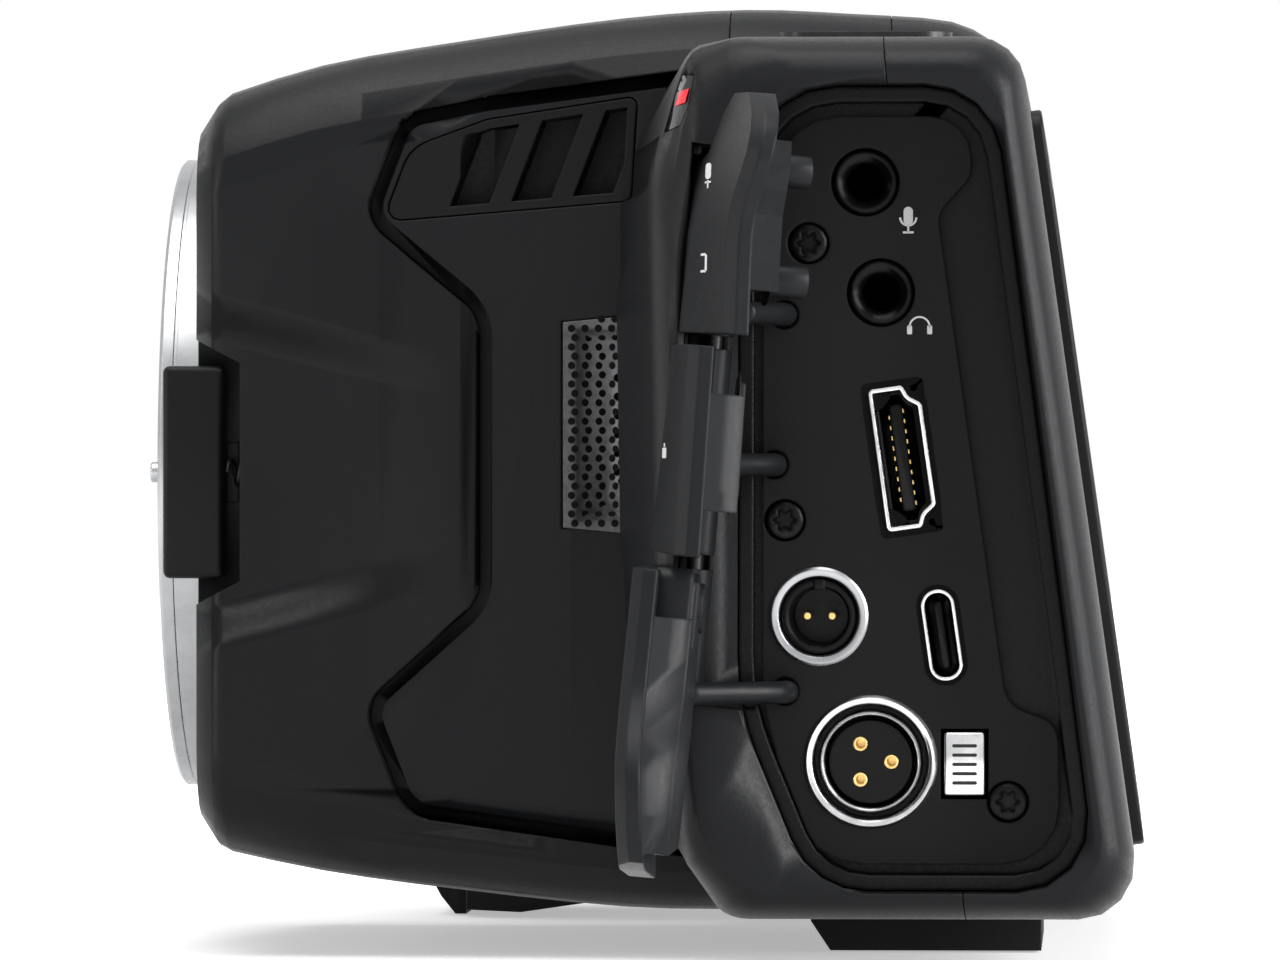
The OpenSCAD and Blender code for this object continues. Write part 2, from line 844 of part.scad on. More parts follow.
module fastening_cut() {
    cylinder(r = boss_r + fit_clear, h = pad_size[2] + boss_h + fit_clear, $fn = 64);
    box_between(
        [-pad_size[0] / 2 - fit_clear, -pad_size[1] / 2 - fit_clear, -over],
        [pad_size[0] / 2 + fit_clear, pad_size[1] / 2 + fit_clear, pad_size[2]]
    );
    translate([0, plate_y, plate_z - plate_boss_l - fit_clear])
        cylinder(r = plate_boss_r + fit_clear, h = 2 * plate_boss_l, $fn = 64);
    box_between(
        [-plate_size[0] / 2 - fit_clear, plate_y - plate_size[1] / 2 - fit_clear, plate_z - plate_t / 2],
        [plate_size[0] / 2 + fit_clear, plate_y + plate_size[1] / 2 + fit_clear, plate_z + 2 * plate_t]
    );
}

// Tally window at the front top corner, speaker on the wing's top, air slots underneath
tally_shares = [
    [0.058, 0.955], [0.026, 0.927], [-0.004, 0.892], [0.05, 0.898], [0.082, 0.917], [0.105, 0.954]
];
tally_depth = 8;
speaker_size = [16.8, 7];
speaker_inset = 14;
speaker_x = half_w - speaker_inset;
speaker_y_share = 0.46;
speaker_proud = 0.7;
speaker_depth = 2;
speaker_pitch = [1.3, 1.4];
slot_size = [16, 2];
slot_pitch = 5;
slot_count = 5;
slot_depth = 2.5;
slot_y_share = 0.25;
slot_inset = 43;
slot_x = half_w - slot_inset;

module tally_zone(grow) {
    along_x(half_w - tally_depth - grow, half_w + over)
        offset(delta = grow)
            polygon([for (s = tally_shares) [wy(s[0]), wz(s[1])]]);
}

module small_cut() {
    tally_zone(seam_gap);
    translate([speaker_x, wy(speaker_y_share), wing_top - speaker_depth])
        rotate([0, 0, 90])
            pill(speaker_size[0] + 2 * fit_clear, speaker_size[1] + 2 * fit_clear, speaker_depth + over);
    for (k = [0:slot_count - 1])
        translate([slot_x + k * slot_pitch, wy(slot_y_share + 0.2), wing_lift - over])
            rotate([0, 0, 90])
                pill(slot_size[0], slot_size[1], slot_depth + over);
}

// Everything that is hollow in the three casing shells
module hollows() {
    core_cut();
    release_cut();
    spring_cut();
    dish_cut();
    louvre_cut();
    hinge_cut();
    along_x(bay_floor_x - seam_gap, half_w + over)
        bay_outline();
    socket_cut(socket_depth + fit_clear);
    battery_cut();
    battery_hinge_cut();
    card_cut();
    button_cut();
    screen_cut();
    fastening_cut();
    small_cut();
}

// Casing shells

module throat_cover() {
    color([0.09, 0.09, 0.1])
        difference() {
            cover_zone(0);
            side_panel_cut(0);
            hollows();
        }
}

module side_panels() {
    intersection() {
        throat_form(side_inset);
        side_panel_cut(-groove_w);
    }
    intersection() {
        throat_form(groove_depth);
        side_panel_cut(-seam_gap);
    }
}

module front_shell() {
    color([0.1, 0.1, 0.11])
        difference() {
            union() {
                difference() {
                    union() {
                        wing_form();
                        intersection() {
                            throat_form();
                            box_between(
                                [-throat_w, ty(cover_end_share), -over],
                                [throat_w, wy(1), axis_z + throat_h]
                            );
                        }
                    }
                    cover_zone(seam_gap);
                    behind_seam(0);
                }
                side_panels();
            }
            hollows();
        }
}

module rear_shell() {
    color([0.1, 0.1, 0.11])
        difference() {
            intersection() {
                union() {
                    wing_form();
                    throat_form();
                }
                behind_seam(seam_gap);
            }
            hollows();
        }
}

module battery_hinge_cut() {
    translate([
        battery_x - 2 * door_lug_w - move_clear, door_axis_y - door_hinge_r - 2 * move_clear,
        wing_lift - over
    ])
        cube([
            battery_size[0] + 4 * door_lug_w + 2 * move_clear, 2 * door_hinge_r + 4 * move_clear,
            over + door_axis_z - wing_lift + door_hinge_r + move_clear
        ]);
}

// Casing pieces on the outside

module hand_grip() {
    color([0.07, 0.07, 0.075])
        difference() {
            union() {
                grip_form();
                battery_lip();
            }
            wing_form();
            battery_cut();
            for (k = [0, 1])
                at_grip_button(k, -fit_clear)
                    cylinder(r = grip_button_r[k] + move_clear, h = 2 * button_l, $fn = 64);
            translate([wheel_x - wheel_w / 2 - move_clear, wheel_y, wheel_z])
                rod_x(wheel_r + move_clear, wheel_w + 2 * move_clear);
            translate([wheel_x - wheel_w / 2 - wheel_pin_l - fit_clear, wheel_y, wheel_z])
                rod_x(wheel_pin_r + pin_clear, wheel_w + 2 * (wheel_pin_l + fit_clear));
        }
}

module foot_pad() {
    color([0.05, 0.05, 0.055])
        difference() {
            union() {
                translate([-pad_size[0] / 2, 0, 0])
                    rotate([90, 0, 90])
                        linear_extrude(pad_size[0])
                            polygon([
                                [-pad_size[1] / 2 + 2 * over, 0], [pad_size[1] / 2, 0],
                                [pad_size[1] / 2, pad_size[2]], [-pad_size[1] / 2, pad_size[2]],
                                [-pad_size[1] / 2, 3 * over]
                            ]);
                cylinder(r = boss_r, h = pad_size[2] + boss_h, $fn = 64);
            }
            translate([0, 0, -over])
                cylinder(r = thread_r, h = thread_depth + over, $fn = 64);
        }
}

module top_mount() {
    color([0.06, 0.06, 0.065])
        difference() {
            union() {
                translate([-plate_size[0] / 2, plate_y - plate_size[1] / 2, plate_z - plate_t / 2])
                    cube([plate_size[0], plate_size[1], plate_t]);
                translate([0, plate_y, plate_z - plate_boss_l])
                    cylinder(r = plate_boss_r, h = plate_boss_l, $fn = 64);
            }
            translate([0, plate_y, plate_z + plate_t / 2 - top_thread_depth])
                cylinder(r = thread_r, h = top_thread_depth + over, $fn = 64);
        }
}

// Battery, its door and its latch
door_axis_y = battery_y + battery_size[1] + door_axis_back;
door_axis_z = wing_lift - door_axis_drop;
door_side = 3;
latch_size = [9, 4, 2];
latch_travel = 2.5;
latch_start = 4.2;
latch_recess = 0.5;

function door_corners() =
    [for (s = battery_door_shares)
        [battery_y + s[0] * (door_axis_y - battery_y), s[1] * battery_door_low]];

module latch_pocket(grow, travel) {
    translate([
        battery_x + battery_size[0] / 2 - latch_size[0] / 2 - grow,
        battery_y + latch_start - grow, -over
    ])
        cube([latch_size[0] + 2 * grow, latch_size[1] + travel + 2 * grow, latch_size[2] + over + grow]);
}

module battery_door() {
    side = battery_x - door_side;
    wide = battery_size[0] + 2 * door_side;
    color([0.08, 0.08, 0.085])
        difference() {
            union() {
                along_x(side, side + wide)
                    polygon(door_corners());
                translate([side, door_axis_y, door_axis_z])
                    rod_x(door_hinge_r, wide);
                translate([side - door_pin_l, door_axis_y, door_axis_z])
                    rod_x(door_pin_r, wide + 2 * door_pin_l);
            }
            latch_pocket(fit_clear, latch_travel);
        }
}

door_pin_l = 1.4;

module battery_latch() {
    color([0.03, 0.03, 0.03])
        intersection() {
            latch_pocket(0, 0);
            box_between([-half_w, battery_y, latch_recess], [0, 0, latch_size[2]]);
        }
}

module battery() {
    color([0.12, 0.12, 0.13])
        translate([battery_x, battery_y, battery_z])
            cube(battery_size);
}

module card_door() {
    t = card_size[0];
    color([0.07, 0.07, 0.075])
        union() {
            translate([-half_w, card_y, card_z])
                cube([t, card_size[1], card_size[2]]);
            translate([-half_w + t / 2, card_y, card_z])
                cylinder(r = t / 2, h = card_size[2], $fn = 48);
            translate([-half_w + t / 2, card_y, card_z - card_pin_l])
                cylinder(r = card_pin_r, h = card_size[2] + 2 * card_pin_l, $fn = 48);
        }
}

// Lens mount

ring_step = 1.5;
ring_plate = 2.2;
groove_r = 28.2;
mount_screw_r = 1.3;
mount_screw_l = 5;
mount_screw_head = 0.9;
mount_screw_x = 29.3;
mount_screw_core = 0.75;
mount_screw_turns = [38, 142, 218, 322];
tab_turns = [20, 140, 260];

module at_mount_screws() {
    for (t = mount_screw_turns)
        translate([mount_screw_x * cos(t), flange_y, axis_z + mount_screw_x * sin(t)])
            children();
}

module lens_mount() {
    color([0.8, 0.8, 0.8])
        difference() {
            translate([0, throat_y, axis_z])
                rotate([90, 0, 0])
                    union() {
                        rotate_extrude($fn = 128)
                            polygon([
                                [groove_r, 0], [ring_r, 0], [ring_r, flange_to_throat - ring_step],
                                [ring_face_r, flange_to_throat], [mount_bore_r, flange_to_throat],
                                [mount_bore_r, flange_to_throat - ring_plate],
                                [groove_r, flange_to_throat - ring_plate]
                            ]);
                        for (t = tab_turns)
                            rotate([0, 0, t])
                                rotate_extrude(angle = tab_angle, $fn = 128)
                                    translate([tab_r, flange_to_throat - ring_plate - tab_t])
                                        square([groove_r - tab_r + fit_clear, tab_t]);
                    }
            at_mount_screws() {
                translate([0, -over, 0])
                    rod_y(mount_screw_r + fit_clear, mount_screw_head + over);
                rod_y(mount_screw_core + fit_clear, 2 * flange_to_throat);
            }
            translate([lock_pin_x, flange_y - over, axis_z])
                rod_y(lock_pin_r + fit_clear, flange_to_throat + 2 * over);
        }
}

module mount_screws() {
    color([0.55, 0.55, 0.56])
        at_mount_screws() {
            difference() {
                rod_y(mount_screw_r, mount_screw_head);
                translate([0, -over, 0])
                    rod_y(mount_screw_core, over + mount_screw_head / 2);
            }
            rod_y(mount_screw_core, mount_screw_l);
        }
}

module throat_liner() {
    depth = liner_back - throat_y;
    color([0.04, 0.04, 0.04])
        difference() {
            translate([0, throat_y, axis_z])
                rod_y(liner_r, depth);
            translate([0, throat_y - over, axis_z])
                rod_y(groove_r - fit_clear, depth + over - liner_wall);
            translate([-aperture[0] / 2, liner_back - liner_wall - over, axis_z - aperture[1] / 2])
                cube([aperture[0], liner_wall + 2 * over, aperture[1]]);
            at_mount_screws()
                rod_y(mount_screw_core + fit_clear, mount_screw_l + fit_clear);
            arm_cut(liner_r + over);
        }
}

contact_size = [24, 6, 6];
contact_lift = 22.2;
contact_pins = 8;
contact_pin_r = 0.6;
contact_pitch = 2.5;

module contact_block() {
    color([0.1, 0.1, 0.1])
        intersection() {
            translate([-contact_size[0] / 2, throat_y, axis_z - contact_lift - contact_size[2]])
                cube(contact_size);
            translate([0, throat_y - over, axis_z])
                rod_y(groove_r - 2 * fit_clear, 2 * contact_size[1]);
        }
    color([0.8, 0.65, 0.3])
        for (k = [0:contact_pins - 1])
            translate([
                (k - (contact_pins - 1) / 2) * contact_pitch, throat_y - contact_pin_r,
                axis_z - contact_lift - contact_pin_r * 2
            ])
                rod_y(contact_pin_r, contact_pin_r + over);
}

module sensor() {
    color([0.2, 0.28, 0.26])
        translate([-sensor_size[0] / 2, sensor_y, axis_z - sensor_size[2] / 2])
            cube(sensor_size);
}

module cover_glass() {
    color([0.5, 0.6, 0.62])
        translate([-glass_size[0] / 2, liner_back, axis_z - glass_size[2] / 2])
            cube(glass_size);
}

module release_button() {
    color([0.05, 0.05, 0.055])
        difference() {
            union() {
                translate([release_x, release_y, axis_z - release_size[2] / 2])
                    cube(release_size);
                translate([arm_x, throat_y + move_clear, axis_z - arm_size[2] / 2])
                    cube([release_x - arm_x + fit_clear, arm_size[1], arm_size[2]]);
            }
            translate([lock_pin_x, throat_y, axis_z])
                rod_y(lock_pin_r, arm_size[1]);
        }
}

module lock_pin() {
    color([0.75, 0.75, 0.75])
        translate([lock_pin_x, flange_y - over, axis_z])
            rod_y(lock_pin_r, flange_to_throat + over + arm_size[1] - fit_clear);
}

module release_spring() {
    from = release_y + release_size[1] + spring_wire_r;
    length = release_floor + spring_nest - spring_wire_r - from;
    steps = 14;
    sides = 6;
    r = spring_r - spring_wire_r;
    total = steps * spring_turns;
    color([0.7, 0.7, 0.7])
        loft([for (k = [0:total])
            let (t = 360 * k / steps, y = from + length * k / total)
            [for (i = [0:sides - 1])
                let (a = -360 * i / sides, q = r + spring_wire_r * cos(a))
                [spring_x + q * cos(t), y + spring_wire_r * sin(a), axis_z + q * sin(t)]]
        ]);
}

// Grilles, louvres and windows

module mic_grille() {
    rows = floor((dish_floor_size[1] - 2) / (mic_pitch * sin(60)) / 2);
    half = dish_floor_size[0] / 2;
    color([0.05, 0.05, 0.055])
    intersection() {
        difference() {
            on_dish()
                dish_body(dish_wall, -dish_wall, dish_reach - over);
            on_dish()
                dish_body(0, 0, dish_reach);
            on_dish()
                for (j = [-rows:rows])
                    let (
                        up = j * mic_pitch * sin(60),
                        shift = abs(j) % 2 * mic_pitch / 2,
                        room = min(half, dish_floor_size[1] / 2 - abs(up)) - mic_pitch * 0.7
                    )
                    for (i = [-4:4])
                        if (abs(i * mic_pitch + shift) < room)
                            translate([i * mic_pitch + shift, up, -2 * dish_wall])
                                cylinder(r = mic_hole_r, h = 3 * dish_wall, $fn = 16);
        }
        union() {
            throat_form(side_inset);
            wing_form();
        }
    }
}

module mic_grille_left() {
    mic_grille();
}

module mic_grille_right() {
    mirror([1, 0, 0])
        mic_grille();
}

module louvres() {
    low = tz(louvre_shares[0][1]) - over;
    high = tz(1);
    tilt = tan(louvre_lean) * (high - low);
    color([0.07, 0.07, 0.075])
    difference() {
        intersection() {
            throat_form(side_inset);
            along_x(louvre_back, throat_w)
                louvre_outline(0);
        }
        along_x(louvre_back + louvre_floor, throat_w)
            intersection() {
                louvre_outline(-louvre_rim);
                for (k = [0:louvre_count - 1])
                    let (y = ty(louvre_start_share) + k * louvre_pitch)
                    polygon([
                        [y, low], [y + louvre_gap, low], [y + louvre_gap + tilt, high],
                        [y + tilt, high]
                    ]);
            }
    }
}

module louvres_left() {
    louvres();
}

module louvres_right() {
    mirror([1, 0, 0])
        louvres();
}

module tally_window() {
    color([0.15, 0.03, 0.03])
        intersection() {
            wing_form();
            tally_zone(0);
        }
}

module speaker_grille() {
    t = speaker_depth + speaker_proud;
    color([0.05, 0.05, 0.055])
        translate([speaker_x, wy(speaker_y_share), wing_top - speaker_depth])
            rotate([0, 0, 90])
                difference() {
                    pill(speaker_size[0], speaker_size[1], t);
                    translate([0, 0, t / 2])
                        pill(speaker_size[0] - 2 * over, speaker_size[1] - 2 * over, t);
                    for (i = [-5:5], j = [-1:1])
                        translate([speaker_pitch[0] * i, speaker_pitch[1] * j, -over])
                            cylinder(r = mic_hole_r, h = t, $fn = 16);
                }
}

// Connector bay

module panel_frame() {
    color([0.04, 0.04, 0.045])
        difference() {
            union() {
                along_x(bay_floor_x, panel_x - panel_t)
                    bay_outline(-fit_clear);
                along_x(bay_floor_x, rim_x)
                    difference() {
                        bay_outline(-fit_clear);
                        bay_outline(-fit_clear - bay_wall);
                    }
            }
            hinge_cut();
            socket_cut(socket_depth);
            panel_screw_cut();
        }
}

module panel_screw_cut() {
    for (s = screw_shares)
        at_panel(s) {
            translate([-screw_l - fit_clear, 0, 0])
                rod_x(screw_r / 2 + fit_clear, screw_l + over);
            translate([-panel_t / 2, 0, 0])
                rod_x(screw_r + fit_clear, panel_t);
        }
}

module connector_panel() {
    color([0.05, 0.05, 0.055])
        difference() {
            along_x(panel_x - panel_t, panel_x)
                intersection() {
                    panel_outline();
                    bay_outline(-bay_wall - 2 * fit_clear);
                }
            hinge_cut();
            socket_cut(socket_depth);
            panel_screw_cut();
            for (s = tether_shares)
                at_panel(s)
                    translate([-panel_t / 2, 0, 0])
                        rod_x(tether_r + move_clear, panel_t);
        }
}

module panel_screws() {
    color([0.06, 0.06, 0.06])
        for (s = screw_shares)
            at_panel(s)
                difference() {
                    union() {
                        translate([-panel_t / 2, 0, 0])
                            rod_x(screw_r, panel_t / 2);
                        translate([-screw_l, 0, 0])
                            rod_x(screw_r / 2, screw_l);
                    }
                    translate([-panel_t / 4, 0, 0])
                        rotate([90, 0, 90])
                            cylinder(r = screw_r / 2, h = panel_t, $fn = 6);
                }
}

module jack(share) {
    at_panel(share)
        difference() {
            union() {
                translate([-socket_depth, 0, 0])
                    rod_x(jack_ring_r, socket_depth);
                rod_x(jack_ring_r - socket_wall, socket_proud);
            }
            translate([-socket_depth + over, 0, 0])
                rod_x(jack_r, socket_depth + over);
        }
}

module mic_jack() {
    color([0.1, 0.1, 0.1])
        jack(mic_share);
}

module headphone_jack() {
    color([0.1, 0.1, 0.1])
        jack(headphone_share);
}

module display_socket() {
    color([0.75, 0.75, 0.75])
        at_panel(display_share)
            rotate([socket_lean, 0, 0])
                difference() {
                    along_x(-socket_depth, socket_proud)
                        display_shape(0);
                    along_x(-socket_depth + over, 2 * over)
                        difference() {
                            display_shape(-socket_wall);
                            translate([-display_tongue_shift, 0])
                                square([display_tongue_t, display_l - 2 * display_tongue_side], center = true);
                        }
                    along_x(-over, over)
                        display_shape(-socket_wall);
                }
}

module data_socket() {
    color([0.75, 0.75, 0.75])
        at_panel(data_share)
            rotate([socket_lean, 0, 0])
                union() {
                    difference() {
                        capsule_x(data_l, data_h, -socket_depth, socket_proud);
                        capsule_x(
                            data_l - 2 * socket_wall, data_h - 2 * socket_wall,
                            -socket_depth + over, over
                        );
                    }
                    along_x(-socket_depth + over, -over)
                        square([data_tongue_t, data_l - 2 * data_tongue_side], center = true);
                }
}

module power_socket() {
    color([0.7, 0.7, 0.7])
        at_panel(power_share)
            difference() {
                union() {
                    translate([-socket_depth, 0, 0])
                        rod_x(power_body_r, socket_depth);
                    rod_x(power_r, socket_proud);
                }
                translate([-power_cup, 0, 0])
                    rod_x(power_bore_r, power_cup + over);
                translate([over - socket_depth, 0, 0])
                    rod_x(power_bore_r - power_step, socket_depth);
                translate([-power_cup, -power_key[0] / 2, 0])
                    cube([power_cup + over, power_key[0], power_bore_r + power_key[1]]);
            }
}

module audio_socket() {
    color([0.75, 0.75, 0.75])
        at_panel(audio_share)
            difference() {
                union() {
                    translate([-socket_depth, 0, 0])
                        rod_x(audio_r - 2 * socket_wall, socket_depth);
                    rod_x(audio_r, socket_proud);
                }
                translate([-socket_depth + over, 0, 0])
                    rod_x(audio_r - 3 * socket_wall, socket_depth + over);
            }
}

module at_audio_pins() {
    for (t = [0, 120, 240])
        translate([-socket_depth / 2, audio_pin_ring * cos(t), audio_pin_ring * sin(t)])
            children();
}

module audio_insert() {
    color([0.08, 0.08, 0.08])
        at_panel(audio_share)
            difference() {
                union() {
                    translate([-socket_depth + over, 0, 0])
                        rod_x(audio_r - 3 * socket_wall, insert_base);
                    translate([-socket_depth + over, 0, 0])
                        rod_x(insert_r, socket_depth - 2 * over);
                }
                at_audio_pins()
                    rod_x(pin_r, socket_depth);
            }
}

pin_r = 0.7;
pin_skin = 0.02;
pin_wall = 0.25;
insert_base = 2;
audio_pin_ring = 2;
power_cup = 3.3;
power_step = 0.3;
power_key = [1, 0.7];
power_pin_gap = 1.2;
power_pin_r = 0.35;
display_tongue_shift = 0.4;
display_tongue_t = 1.4;
display_tongue_side = 2;
data_tongue_t = 0.7;
data_tongue_side = 1.2;

module socket_contacts() {
    color([0.8, 0.65, 0.3]) {
        at_panel(audio_share)
            at_audio_pins()
                difference() {
                    rod_x(pin_r - pin_skin, socket_depth / 2 - over);
                    translate([over, 0, 0])
                        rod_x(pin_r - pin_wall, socket_depth);
                }
        at_panel(power_share)
            for (k = [-1, 1])
                translate([over - socket_depth, power_pin_gap * k, 0])
                    rod_x(power_pin_r, socket_depth - over - power_cup - fit_clear);
    }
}

module latch_tab() {
    color([0.75, 0.75, 0.75])
        at_panel(tab_share)
            translate([-tab_size[0] + socket_proud, -tab_size[1] / 2, -tab_size[2] / 2])
                cube(tab_size);
}

// Doors of the bay

module door_plate(low, high) {
    levels = 12;
    z = [for (k = [0:levels]) low + (high - low) * k / levels];
    loft([for (s = z)
        let (
            front = wing_depth * (lookup(s, door_front_shares) - hinge_share),
            edge = wing_depth * (lookup(s, door_edge_shares) - hinge_share),
            lean = (s * wing_height) * tan(hinge_lean),
            r = reach_at(s),
            top = barrel_shares[0][1] - (high - low) / levels,
            low_y = s > barrel_shares[2][0] && s < top ? 0 : front - lean,
            high_y = edge - lean
        )
        [
            [r - door_skin, low_y, s * wing_height], [r, low_y, s * wing_height],
            [r, high_y - door_bevel, s * wing_height],
            [r - door_bevel, high_y, s * wing_height], [r - door_skin, high_y, s * wing_height]
        ]
    ]);
}

module door_block(low, high) {
    levels = 6;
    z = [for (k = [0:levels]) low + (high - low) * k / levels];
    inner = panel_x + block_gap - hinge_x;
    start = wing_depth * (block_start_share - hinge_share);
    loft([for (s = z)
        let (
            edge = wing_depth * (lookup(s, door_edge_shares) - hinge_share),
            lean = (s * wing_height) * tan(hinge_lean),
            r = reach_at(s) - door_skin + fit_clear,
            high_y = edge - lean - block_margin
        )
        [
            [inner, start, s * wing_height], [r, start, s * wing_height],
            [r, high_y, s * wing_height], [inner, high_y - door_step, s * wing_height]
        ]
    ]);
}

// Room of the closed doors inside an outline of the bay, with the hinge side left open
module door_room(grow) {
    union() {
        intersection() {
            bay_outline(grow);
            translate([door_swing_gap, 0])
                bay_outline(grow);
        }
        polygon([
            [hinge_y(wing_lift) - over, wz(barrel_shares[2][0])],
            [wy(door_root_share), wz(barrel_shares[2][0])],
            [wy(door_root_share), wz(barrel_shares[0][1]) - 2 * hinge_gap],
            [hinge_y(wz(1)) - 2 * over, wz(barrel_shares[0][1]) - 2 * hinge_gap]
        ]);
    }
}

module door_zone() {
    rotate([hinge_lean, 0, 0])
        translate([-hinge_x, -wy(hinge_share), -wing_lift])
            union() {
                along_x(panel_x, half_w + over)
                    door_room(-bay_wall - fit_clear - move_clear);
                along_x(rim_x + move_clear, half_w + over)
                    door_room(-move_clear);
            }
}

module door(k) {
    gap = move_clear / wing_height;
    low = door_end_shares[k][0] + gap;
    high = door_end_shares[k][1] - gap;
    block = block_margin / wing_height;
    color([0.14, 0.14, 0.15])
    on_hinge()
        rotate([0, 0, -door_open[k]])
            difference() {
                union() {
                    intersection() {
                        door_plate(low, high);
                        door_zone();
                    }
                    intersection() {
                        door_block(low + 2 * block, high - 2 * block);
                        door_zone();
                    }
                    drum(barrel_shares[k][0] + gap, barrel_shares[k][1] - gap, 0, -drum_sweep / 2, drum_sweep);
                    translate([0, 0, wing_height * (barrel_shares[k][0] + gap)])
                        cylinder(
                            r = knuckle_r,
                            h = wing_height * (barrel_shares[k][1] - barrel_shares[k][0] - 2 * gap),
                            $fn = 48
                        );
                }
                cylinder(r = hinge_r + pin_clear, h = wing_height, $fn = 48);
            }
}

module door_upper() {
    door(0);
}

module door_mid() {
    door(1);
}

module door_lower() {
    door(2);
}

module hinge_rod() {
    low = wing_height * barrel_shares[2][0] - rod_hold;
    color([0.6, 0.6, 0.6])
        on_hinge()
            translate([0, 0, low])
                cylinder(r = hinge_r, h = wing_height * barrel_shares[0][1] + rod_hold - low, $fn = 48);
}

// Tube of one radius along a path that never runs straight up
module tube(path, r) {
    sides = 12;
    last = len(path) - 1;
    loft([for (k = [0:last])
        let (
            t = unit(path[min(k + 1, last)] - path[max(k - 1, 0)]),
            u = unit(cross([0, 0, 1], t)),
            v = cross(t, u)
        )
        [for (i = [0:sides - 1])
            path[k] + r * (cos(360 * i / sides) * u + sin(360 * i / sides) * v)]
    ]);
}

// Bent strap between the panel and an open door
tether_out = 9;
tether_start = 4;

module tether(k) {
    share = tether_shares[k];
    z = wz(share[1]);
    a = [panel_x - panel_t / 2 + fit_clear, wy(share[0]), z];
    b = [panel_x + tether_start, wy(share[0]), z];
    c = [
        hinge_x + tether_out * sin(door_open[k]) + block_gap * cos(door_open[k]),
        hinge_y(z) + tether_out * cos(door_open[k]) + block_gap * sin(door_open[k]), z
    ];
    color([0.08, 0.08, 0.085])
        tube(smoothed([a, b, (b + c) / 2, c], 4), tether_r);
}

module tether_upper() {
    tether(0);
}

module tether_mid() {
    tether(1);
}

module tether_lower() {
    tether(2);
}

// Screen and controls

module screen_frame() {
    color([0.04, 0.04, 0.045])
        on_rear()
            difference() {
                rear_plate(screen_w, screen_h, screen_corner, -screen_pocket, screen_proud);
                rear_plate(
                    screen_w - 2 * glass_margin, screen_h - 2 * glass_margin, over,
                    screen_proud - glass_t - glass_drop, screen_proud + over
                );
            }
}

module screen_glass() {
    color([0.02, 0.02, 0.03])
        on_rear()
            rear_plate(
                screen_w - 2 * glass_margin - 2 * fit_clear,
                screen_h - 2 * glass_margin - 2 * fit_clear, over,
                screen_proud - glass_t - glass_drop, screen_proud - glass_drop
            );
}

module rear_button(k) {
    color([0.06, 0.06, 0.065])
        on_rear()
            translate([rear_button_x, button_proud - button_l, rear_button_ups[k]])
                rod_y(button_r, button_l);
}

module menu_button() {
    rear_button(0);
}

module play_button() {
    rear_button(1);
}

module focus_button() {
    rear_button(2);
}

module iris_button() {
    rear_button(3);
}

module at_grip_button(k, up) {
    translate([
        grip_button_insets[k] - half_w, wing_y - grip_button_share * grip_reach,
        grip_top - button_l + up
    ])
        children();
}

module grip_button(k) {
    at_grip_button(k, button_travel)
        cylinder(r = grip_button_r[k], h = button_l, $fn = 64);
}

module record_button() {
    color([0.6, 0.05, 0.05])
        grip_button(0);
}

module still_button() {
    color([0.06, 0.06, 0.065])
        grip_button(1);
}

module top_button(k) {
    color([0.06, 0.06, 0.065])
        at_pill(k)
            pill(pill_size[0], pill_size[1], button_l);
}

module iso_button() {
    top_button(0);
}

module shutter_button() {
    top_button(1);
}

module balance_button() {
    top_button(2);
}

module power_switch() {
    color([0.06, 0.06, 0.065])
        translate([
            switch_x - switch_knob[0] / 2 - switch_travel,
            wy(switch_y_share) - switch_knob[1] / 2, wing_top - switch_knob[2] + over
        ])
            cube(switch_knob);
}

module control_wheel() {
    teeth = 24;
    color([0.05, 0.05, 0.055])
        translate([wheel_x - wheel_w / 2, wheel_y, wheel_z])
            union() {
                difference() {
                    rod_x(wheel_r, wheel_w);
                    for (k = [0:teeth - 1])
                        rotate([360 * k / teeth, 0, 0])
                            translate([-over, 0, wheel_r + wheel_groove_lift])
                                rod_x(wheel_groove_r, wheel_w + 2 * over);
                }
                translate([-wheel_pin_l, 0, 0])
                    rod_x(wheel_pin_r, wheel_w + 2 * wheel_pin_l);
            }
}

// Board and fan behind the sensor

module main_board() {
    color([0.1, 0.3, 0.15])
        translate([-core_w / 2 + over, board_y, axis_z - core_h / 2 + over])
            cube([core_w - 2 * over, board_t, core_h - 2 * over]);
}

fan_bore_r = 18;
fan_hub_r = 8;
fan_pin_r = 1;
fan_blades = 7;
fan_back = 1.2;
fan_strut = 2.5;
blade_turn = 40;
blade_t = 0.8;
blade_over = 0.2;
blade_tip_gap = 1.2;

module fan_frame() {
    color([0.05, 0.05, 0.05])
        translate([0, fan_y, axis_z])
            union() {
                difference() {
                    translate([-fan_size[0] / 2, 0, -fan_size[2] / 2])
                        cube(fan_size);
                    translate([0, -over, 0])
                        rod_y(fan_bore_r, fan_size[1] + 2 * over);
                }
                rod_y(fan_hub_r, fan_back);
                for (t = [45, 165, 285])
                    rotate([0, t, 0])
                        translate([0, 0, -fan_strut / 2])
                            cube([fan_bore_r + over, fan_back, fan_strut]);
                rod_y(fan_pin_r, fan_size[1] - fan_back);
            }
}

module fan_rotor() {
    height = fan_size[1] - fan_back - 2 * move_clear;
    color([0.12, 0.12, 0.12])
        translate([0, fan_y + fan_back + move_clear, axis_z])
            difference() {
                union() {
                    rod_y(fan_hub_r - over, height);
                    for (k = [0:fan_blades - 1])
                        rotate([0, 360 * k / fan_blades, 0])
                            translate([fan_hub_r / 2, height / 2, 0])
                                rotate([blade_turn, 0, 0])
                                    translate([0, -height / 2 - blade_over, -blade_t / 2])
                                        cube([
                                            fan_bore_r - fan_hub_r / 2 - blade_tip_gap,
                                            height + 2 * blade_over, blade_t
                                        ]);
                }
                translate([0, -over, 0])
                    rod_y(fan_pin_r + pin_clear, height + 2 * over);
            }
}

